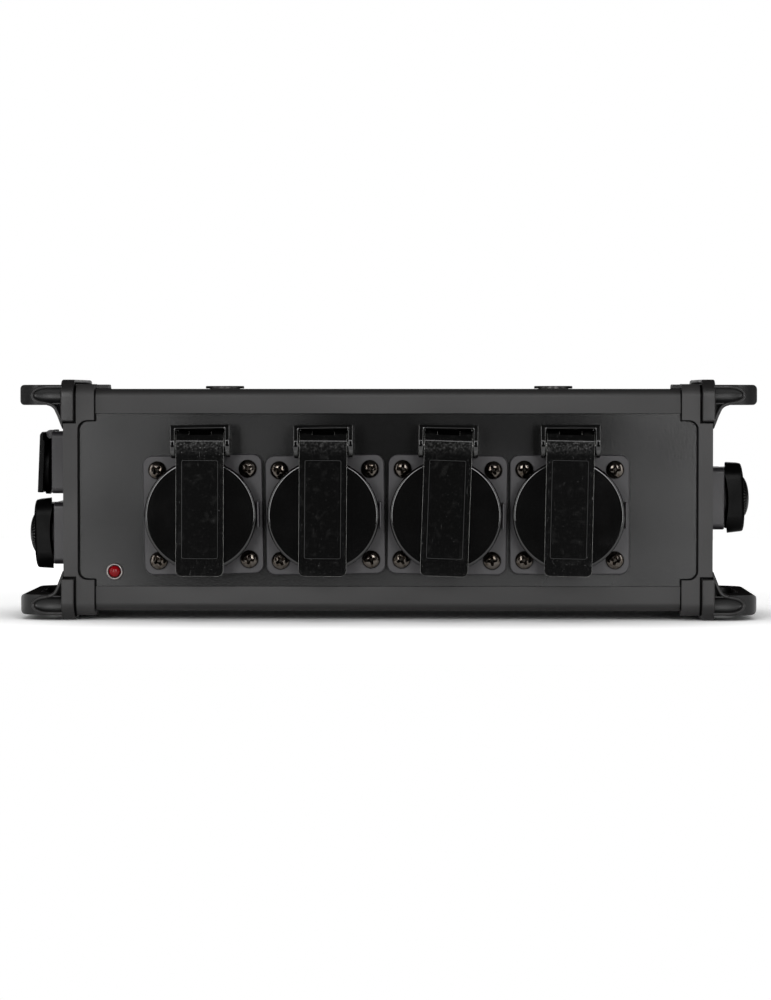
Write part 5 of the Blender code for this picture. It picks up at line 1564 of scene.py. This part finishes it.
@dataclass
class Connector(SubAssembly):
    """A sealed side connector with a hinged cap; its axes run outwards, along the hinge and towards it."""

    name: str
    side: int
    level: float
    kind: CapKind
    out: float = 6.7
    askew_deg: float = 0.0
    long_side: float = 31.0
    short_side: float = 26.4
    collar: Pair = (9.9, 8.5)
    mouth: Pair = (8.5, -8.0)
    barrel: Pair = (11.8, -30.0)
    axis_out: float = 8.7
    axis_edge: float = 1.2
    ear: Triple = (1.9, 7.2, 2.2)
    knuckle: Pair = (1.7, 6.9)
    cap: Pair = (6.9, 9.0)
    cap_wider: float = 4.0
    cap_radius: float = 7.3
    dome: Pair = (8.3, 2.7)
    ribs: int = 44
    rib_half: float = 0.28
    edge: float = 0.55
    cap_edge: float = 0.35
    fine_edge: float = 0.3
    lean_deg: float = 2.3
    scallop: float = 44.0
    blades_out: float = 4.6

    @property
    def along(self) -> float:
        """The flange's size along the hinge."""
        return self.long_side if self.kind is CapKind.FLAP else self.short_side

    @property
    def across(self) -> float:
        """The flange's size towards the hinge."""
        return self.short_side if self.kind is CapKind.FLAP else self.long_side

    @property
    def axis(self) -> Pair:
        """The hinge axis, outwards and towards the hinge."""
        return (self.axis_out, self.across / 2 - self.axis_edge)

    @property
    def clear(self) -> float:
        """How far towards the hinge the cap may reach and still clear the ears."""
        return self.axis[1] - self.ear[0] - 0.5

    def place(self) -> Matrix:
        """From the connector's own axes to the box's.

        Returns:
            The matrix.
        """
        up, rear = Vector((0.0, 0.0, 1.0)), Vector((0.0, 1.0, 0.0))
        along, to_hinge = (rear, up) if self.kind is CapKind.FLAP else (up, rear)
        turn = Matrix((Vector((self.side, 0.0, 0.0)), along, to_hinge)).transposed().to_4x4()
        return Matrix.Translation((self.side * FACE, 0.0, self.level)) @ turn

    def body(self) -> Solid:
        """Flange, ears, collar and mouth.

        Returns:
            Its shape.
        """
        flange = Solid.prism(Axis.X, rounded(self.along, self.across, 2.5), -2.5, self.out)
        hole = Solid.rod(Axis.X, 9.2, -4.0, self.out + PAST, sides=64)
        flange = flange.minus(hole).softened(self.edge)
        (radius, inner, wide), start, level = self.ear, self.out - 0.5, self.axis[1]
        profile = [(start, level - radius), *arc(self.axis, radius, -90, 90, 10), (start, level + radius)]
        ears = []
        for side in (-1, 1):
            ear = Solid.prism(Axis.Y, profile, side * inner, side * (inner + wide))
            ears.append(ear.softened(self.fine_edge, 2))
        (outer, front), (hole, floor), (barrel, end) = self.collar, self.mouth, self.barrel
        ring = [(0.0, floor), (hole, floor), (hole, front - 0.5)]
        ring += arc(((hole + outer) / 2, front - 0.7), (outer - hole) / 2, 180, 0, 8)
        ring += [(outer, 0.0), (barrel, 0.0), (barrel, end), (0.0, end)]
        return flange.beside(Solid.lathe(Axis.X, ring, 72), *ears)

    def arm(self, outline: Outline) -> Solid:
        """The cap's arm round the pin, from its outline."""
        arm = Solid.prism(Axis.Y, outline, -self.knuckle[1], self.knuckle[1])
        return arm.minus(Solid.rod(Axis.Y, 1.0, -8.0, 8.0, self.axis, 16)).softened(self.fine_edge, 2)

    def flap(self) -> Solid:
        """The flat flap of the upper inlet, which hangs a little open.

        Returns:
            Its shape.
        """
        gap, bottom, top = self.clear, -self.across / 2 + 0.3, self.across / 2 - 0.2
        wide = self.along - 0.6
        side = [(12.5, bottom), (12.5, top - 1.3), (11.6, top), (10.9, top)]
        side += [(10.9, gap), (10.2, gap), (10.2, bottom)]
        plate = Solid.prism(Axis.Y, side, -wide / 2, wide / 2).softened(self.cap_edge)
        arm = [(10.9, gap - 1.0), (11.9, gap - 1.0), (11.9, top - 0.8)]
        arm += arc(self.axis, self.knuckle[0], 50, 270, 14)
        loop = [(10.4, 10.4), (10.4, 8.3), (11.2, 7.8), (12.2, 8.6), (12.2, 10.4)]
        plug = Solid.lathe(Axis.X, loop, 64, (0.0, (bottom + gap) / 2))
        away = Matrix.Translation((self.axis[0], 0.0, self.axis[1]))
        lean = Matrix.Rotation(-math.radians(self.lean_deg), 4, "Y")
        return plate.beside(self.arm(arm), plug).moved(away @ lean @ away.inverted())

    def domed(self) -> Solid:
        """The thick cap with a scalloped inner side and a dome.

        Returns:
            Its shape.
        """
        (back, thick), (radius, rise), (half, _) = self.cap, self.dome, self.knuckle
        front, top, bottom = back + thick, self.clear, -self.across / 2
        middle, wide, high = (0.0, (top + bottom) / 2), self.along + self.cap_wider, top - bottom
        steps = ((back, 0.3), (back + 0.3, 0.05), (front - 2.1, 0.6), (front - 1.7, 0.75), (front - 1.4, 1.1))
        steps += ((front - 1.0, 2.4), (front - 0.55, 5.2), (front - 0.4, 7.0))
        sections = []
        for at, inset in steps:
            size = (wide - 2 * inset, high - 2 * inset, self.cap_radius - inset)
            sections.append((at, rounded(*size, middle)))
        wedge = [(back - 1, bottom - 1), (back, bottom - 1), (back + 3.4, top + 1), (back - 1, top + 1)]
        block = Solid.loft(Axis.X, sections).minus(
            Solid.rod(Axis.X, 11.0, back - PAST, 9.3, sides=64),
            Solid.rod(Axis.Z, self.scallop, -60.0, 60.0, (back + 1.5 - self.scallop, 0.0), 256),
            *(Solid.prism(Axis.Y, wedge, *ends) for ends in ((12.9, 17.5), (-17.5, -12.9))),
        )
        block = block.softened(self.cap_edge, 2, 50.0).painted(1, Axis.X)
        curve = fan((0.0, front - 0.3), radius, rise, math.pi / 20, 10)
        dome = Solid.lathe(Axis.X, [*curve, (radius, front - 1.5), (0.0, front - 1.5)], 64)
        low, high_edge = max(back, self.axis_out - half), min(front - 3.0, self.axis_out + half)
        arm = self.arm([(low, top - 0.5), (high_edge, top - 0.5), *arc(self.axis, half, 0, 180, 12)])
        return block.beside(dome, arm).moved(self.askew())

    def askew(self) -> Matrix:
        """How a domed cap sits, a little out of square."""
        return Matrix.Rotation(math.radians(self.askew_deg), 4, "Z")

    def rib(self) -> Solid:
        """One rib of the dome, at its top.

        Returns:
            Its shape.
        """
        side = ((-1.5, 11.7), (-0.75, 11.4), (0.1, 8.6), (0.9, 7.6), (-1.2, 7.2))
        outline = [(sum(self.cap) + u, v) for u, v in side]
        return Solid.prism(Axis.Y, outline, -self.rib_half, self.rib_half).softened(0.12, 2)

    def dress(self) -> None:
        """Makes the connector."""
        shop, name, place, cap_name = self.shop, self.name, self.place(), f"{self.name}_cap"
        body = self.body().moved(place)
        shop.finish(f"{name}_moulding", body, [SOCKET_GREY], "grey_thermoplastic", [f"{name}_body"])
        gasket = Solid.prism(Axis.X, rounded(self.along + 0.3, self.across + 0.3, 2.6), -0.2, 0.45)
        gasket = gasket.minus(Solid.rod(Axis.X, 11.9, -1.0, 1.0, sides=64)).moved(place)
        shop.finish(f"{name}_flange_gasket", gasket, [RUBBER])
        cap = (self.flap() if self.kind is CapKind.FLAP else self.domed()).moved(place)
        blacks = [SOFT_BLACK, MATT_BLACK]
        shop.finish(f"{cap_name}_moulding", cap, blacks, "moulded_black", [cap_name], cap_name)
        if self.kind is CapKind.DOME:
            turns = [Matrix.Rotation(2 * math.pi * k / self.ribs, 4, "X") for k in range(self.ribs)]
            ribs = shop.repeats.set_on(self.rib(), turns, SOFT_BLACK).moved(place @ self.askew())
            shop.finish(f"{cap_name}_ribs", ribs, [SOFT_BLACK], "moulded_black", body=cap_name)
        end = self.ear[1] + self.ear[2] - 0.2
        pin = Solid.rod(Axis.Y, 0.8, -end, end, self.axis, 16).softened(0.15, 2).moved(place)
        shop.finish(f"{cap_name}_pin_rod", pin, [BRIGHT_STEEL], "steel", [f"{cap_name}_pin"])
        blade = Solid.prism(Axis.X, rounded(0.9, 3.4, 0.3, steps=3), -0.5, 4.5).softened(0.15, 2)
        seat = Matrix.Translation((self.mouth[1], self.blades_out, 0.0))
        turns = [Matrix.Rotation(math.radians(90 + 120 * k), 4, "X") for k in range(3)]
        shop.repeat(f"{name}_blades", blade, [place @ (turn @ seat) for turn in turns], BRASS)


@dataclass
class Wiring(SubAssembly):
    """The leads inside, which run behind the sockets, and the earth stud."""

    def dress(self) -> None:
        """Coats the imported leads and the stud."""
        cores = {"live_lead": BROWN_CORE, "neutral_lead": BLUE_CORE, "earth_lead": EARTH_CORE}
        for node, finish in (cores | {"link_cable": RUBBER, "earth_stud": BRIGHT_STEEL}).items():
            self.shop.coat(node, finish)


@dataclass(frozen=True)
class SoftBox:
    """A soft rectangular light that faces the box: degrees to the right and up, metres away, and watts."""

    name: str
    azimuth: float
    elevation: float
    distance: float
    size: Pair
    power: float
    shows: bool = True

    def hang(self) -> None:
        """Adds the light; shows says whether polished surfaces mirror it."""
        data = bpy.data.lights.new(self.name, "AREA")
        data.shape, data.energy, (data.size, data.size_y) = "RECTANGLE", self.power, self.size
        lamp = placed(self.name, data)
        a, e = math.radians(self.azimuth), math.radians(self.elevation)
        away = Vector((math.sin(a) * math.cos(e), -math.cos(a) * math.cos(e), math.sin(e)))
        lamp.visible_glossy = self.shows
        lamp.location = Vector((0.0, 0.0, 0.05)) + away * self.distance
        lamp.rotation_euler = away.to_track_quat("Z", "Y").to_euler()


@dataclass
class Studio:
    """The camera at the photograph's place, the floor and backdrop, and soft lights."""

    eye: Triple = (24.1, -1434.1, 94.7)
    aim_px: Pair = (385.5, 500.0)
    axis_px: Pair = (445.0, 395.0)
    focal_px: float = 3346.0
    long_side_px: float = 1000.0
    sensor: float = 36.0
    floor_size: Triple = (0.75, 0.25, 0.75)
    # Painted shade: the paper's glow is lower near the box's middle, rising to full between these distances in
    # metres.
    painted_shade_span: Pair = (0.2, 0.5)
    # Painted shadow: ambient occlusion within this reach, raised to this power, dims the paper's glow.
    shadow_reach: float = 0.06
    shadow_depth: float = 2.2
    paper_glow: float = 0.56
    room: Pair = (0.05, 1.0)
    behind: Pair = (0.9, 0.99)
    lights: tuple[SoftBox, ...] = (
        SoftBox("left_box", -20.0, 12.0, 1.7, (0.4, 1.0), 11.0),
        SoftBox("right_box", 17.5, 12.0, 1.7, (0.4, 1.0), 11.0),
        SoftBox("left_fill", -62.0, 14.0, 1.6, (0.5, 1.3), 6.5),
        SoftBox("right_fill", 62.0, 14.0, 1.6, (0.5, 1.3), 6.5),
        SoftBox("front_strip", 0.0, 27.0, 1.6, (1.0, 0.16), 1.4),
        SoftBox("top_box", 0.0, 88.0, 1.5, (1.6, 1.6), 8.0, False),
    )

    def camera(self) -> None:
        """Sets the camera, turned a little so that the box lies where the photograph has it."""
        data = bpy.data.cameras.new("camera")
        data.sensor_width, data.lens = self.sensor, self.sensor * self.focal_px / self.long_side_px
        data.clip_start, data.clip_end = 0.01, 50.0
        camera = placed("camera", data)
        across = (self.aim_px[0] - self.axis_px[0]) / self.focal_px
        down = (self.aim_px[1] - self.axis_px[1]) / self.focal_px
        camera.location = Vector(self.eye) * MM
        camera.rotation_euler = Vector((across, 1.0, -down)).to_track_quat("-Z", "Y").to_euler()
        bpy.context.scene.camera = camera

    def paper(self) -> bpy.types.Material:
        """White paper that shows white to the camera and in reflections, and still takes the box's shadow; near
        the box its glow is lowered, a painted shade and shadow.

        Returns:
            The material.
        """
        material = bpy.data.materials.new("white_paper")
        material.use_nodes = True
        tree = material.node_tree
        tree.nodes.clear()
        ray = add_node(tree, "ShaderNodeLightPath").node.outputs
        seen = ray["Is Camera Ray"]
        for way in ("Is Glossy Ray", "Is Transmission Ray"):
            seen = add_node(tree, MATH, (seen, ray[way]), operation="MAXIMUM")
        place = add_node(tree, PLACE, out="Object")
        away = add_node(tree, "ShaderNodeVectorMath", (place,), "Value", operation="LENGTH")
        levels = (away, *self.painted_shade_span, self.paper_glow, 1.0)
        glow = add_node(tree, RANGE, levels, interpolation_type="SMOOTHSTEP")
        # Painted shadow: ambient occlusion near the box dims the glow.
        reach = {"Distance": self.shadow_reach}
        occlusion_shade = add_node(tree, "ShaderNodeAmbientOcclusion", reach, "AO", samples=16)
        occlusion_shade = add_node(tree, MATH, (occlusion_shade, self.shadow_depth), operation="POWER")
        glow = add_node(tree, MATH, (glow, occlusion_shade), operation="MULTIPLY")
        light = add_node(tree, MATH, (seen, glow), operation="MULTIPLY")
        own = add_node(tree, "ShaderNodeEmission", {"Color": (1, 1, 1, 1), "Strength": light})
        white = add_node(tree, "ShaderNodeBsdfDiffuse", {"Color": (0.86, 0.86, 0.86, 1)})
        both = add_node(tree, "ShaderNodeAddShader", (own, white))
        tree.links.new(both, tree.nodes.new("ShaderNodeOutputMaterial").inputs["Surface"])
        return material

    def floor(self) -> None:
        """A pale floor that the box stands on; past its edge the room is as white."""
        wide, near, far = self.floor_size
        mesh = bpy.data.meshes.new("studio_floor")
        mesh.from_pydata([(u, v, 0.0) for u, v in bar(-wide, wide, -near, far)], [], [(0, 1, 2, 3)])
        mesh.materials.append(self.paper())
        placed("studio_floor", mesh)

    def world(self) -> None:
        """A room that is white behind the box and dim in front of it; the camera sees white all round."""
        world = bpy.data.worlds.new("room")
        bpy.context.scene.world = world
        world.use_nodes = True
        tree = world.node_tree
        direction = add_node(tree, PLACE, out="Generated")
        depth = add_node(tree, PARTS, (direction,), "Y")
        room = add_node(tree, RANGE, (depth, *self.behind, *self.room), interpolation_type="SMOOTHSTEP")
        seen = add_node(tree, "ShaderNodeLightPath", out="Is Camera Ray")
        strength = add_node(tree, MATH, (seen, room), operation="MAXIMUM")
        background = tree.nodes["Background"]
        background.inputs["Color"].default_value = (1.0, 1.0, 1.0, 1.0)
        tree.links.new(strength, background.inputs["Strength"])

    def set_up(self) -> None:
        """Sets the camera, the floor, the room and the lights."""
        bpy.context.scene.view_settings.view_transform = "Standard"
        self.camera()
        self.floor()
        self.world()
        for light in self.lights:
            light.hang()


def main() -> None:
    """Builds every sub-assembly in order, then the studio."""
    logging.basicConfig(level=logging.INFO, format="%(name)s: %(message)s")
    shop = Workshop()
    for group in (
        Housing(shop),
        EndFrame(shop),
        Bumper(shop),
        ClampInserts(shop),
        Lamp(shop),
        SocketRow(shop),
        Connector(shop, "upper_inlet", -1, 15.3, CapKind.FLAP, 7.5),
        Connector(shop, "lower_inlet", -1, -14.9, CapKind.DOME, askew_deg=-1.4),
        Connector(shop, "outlet", 1, 0.0, CapKind.DOME, askew_deg=2.0),
        Wiring(shop),
    ):
        group.dress()
    Studio().set_up()
    LOG.info("%d pieces made", len(shop.made))


if __name__ == "__main__":
    main()
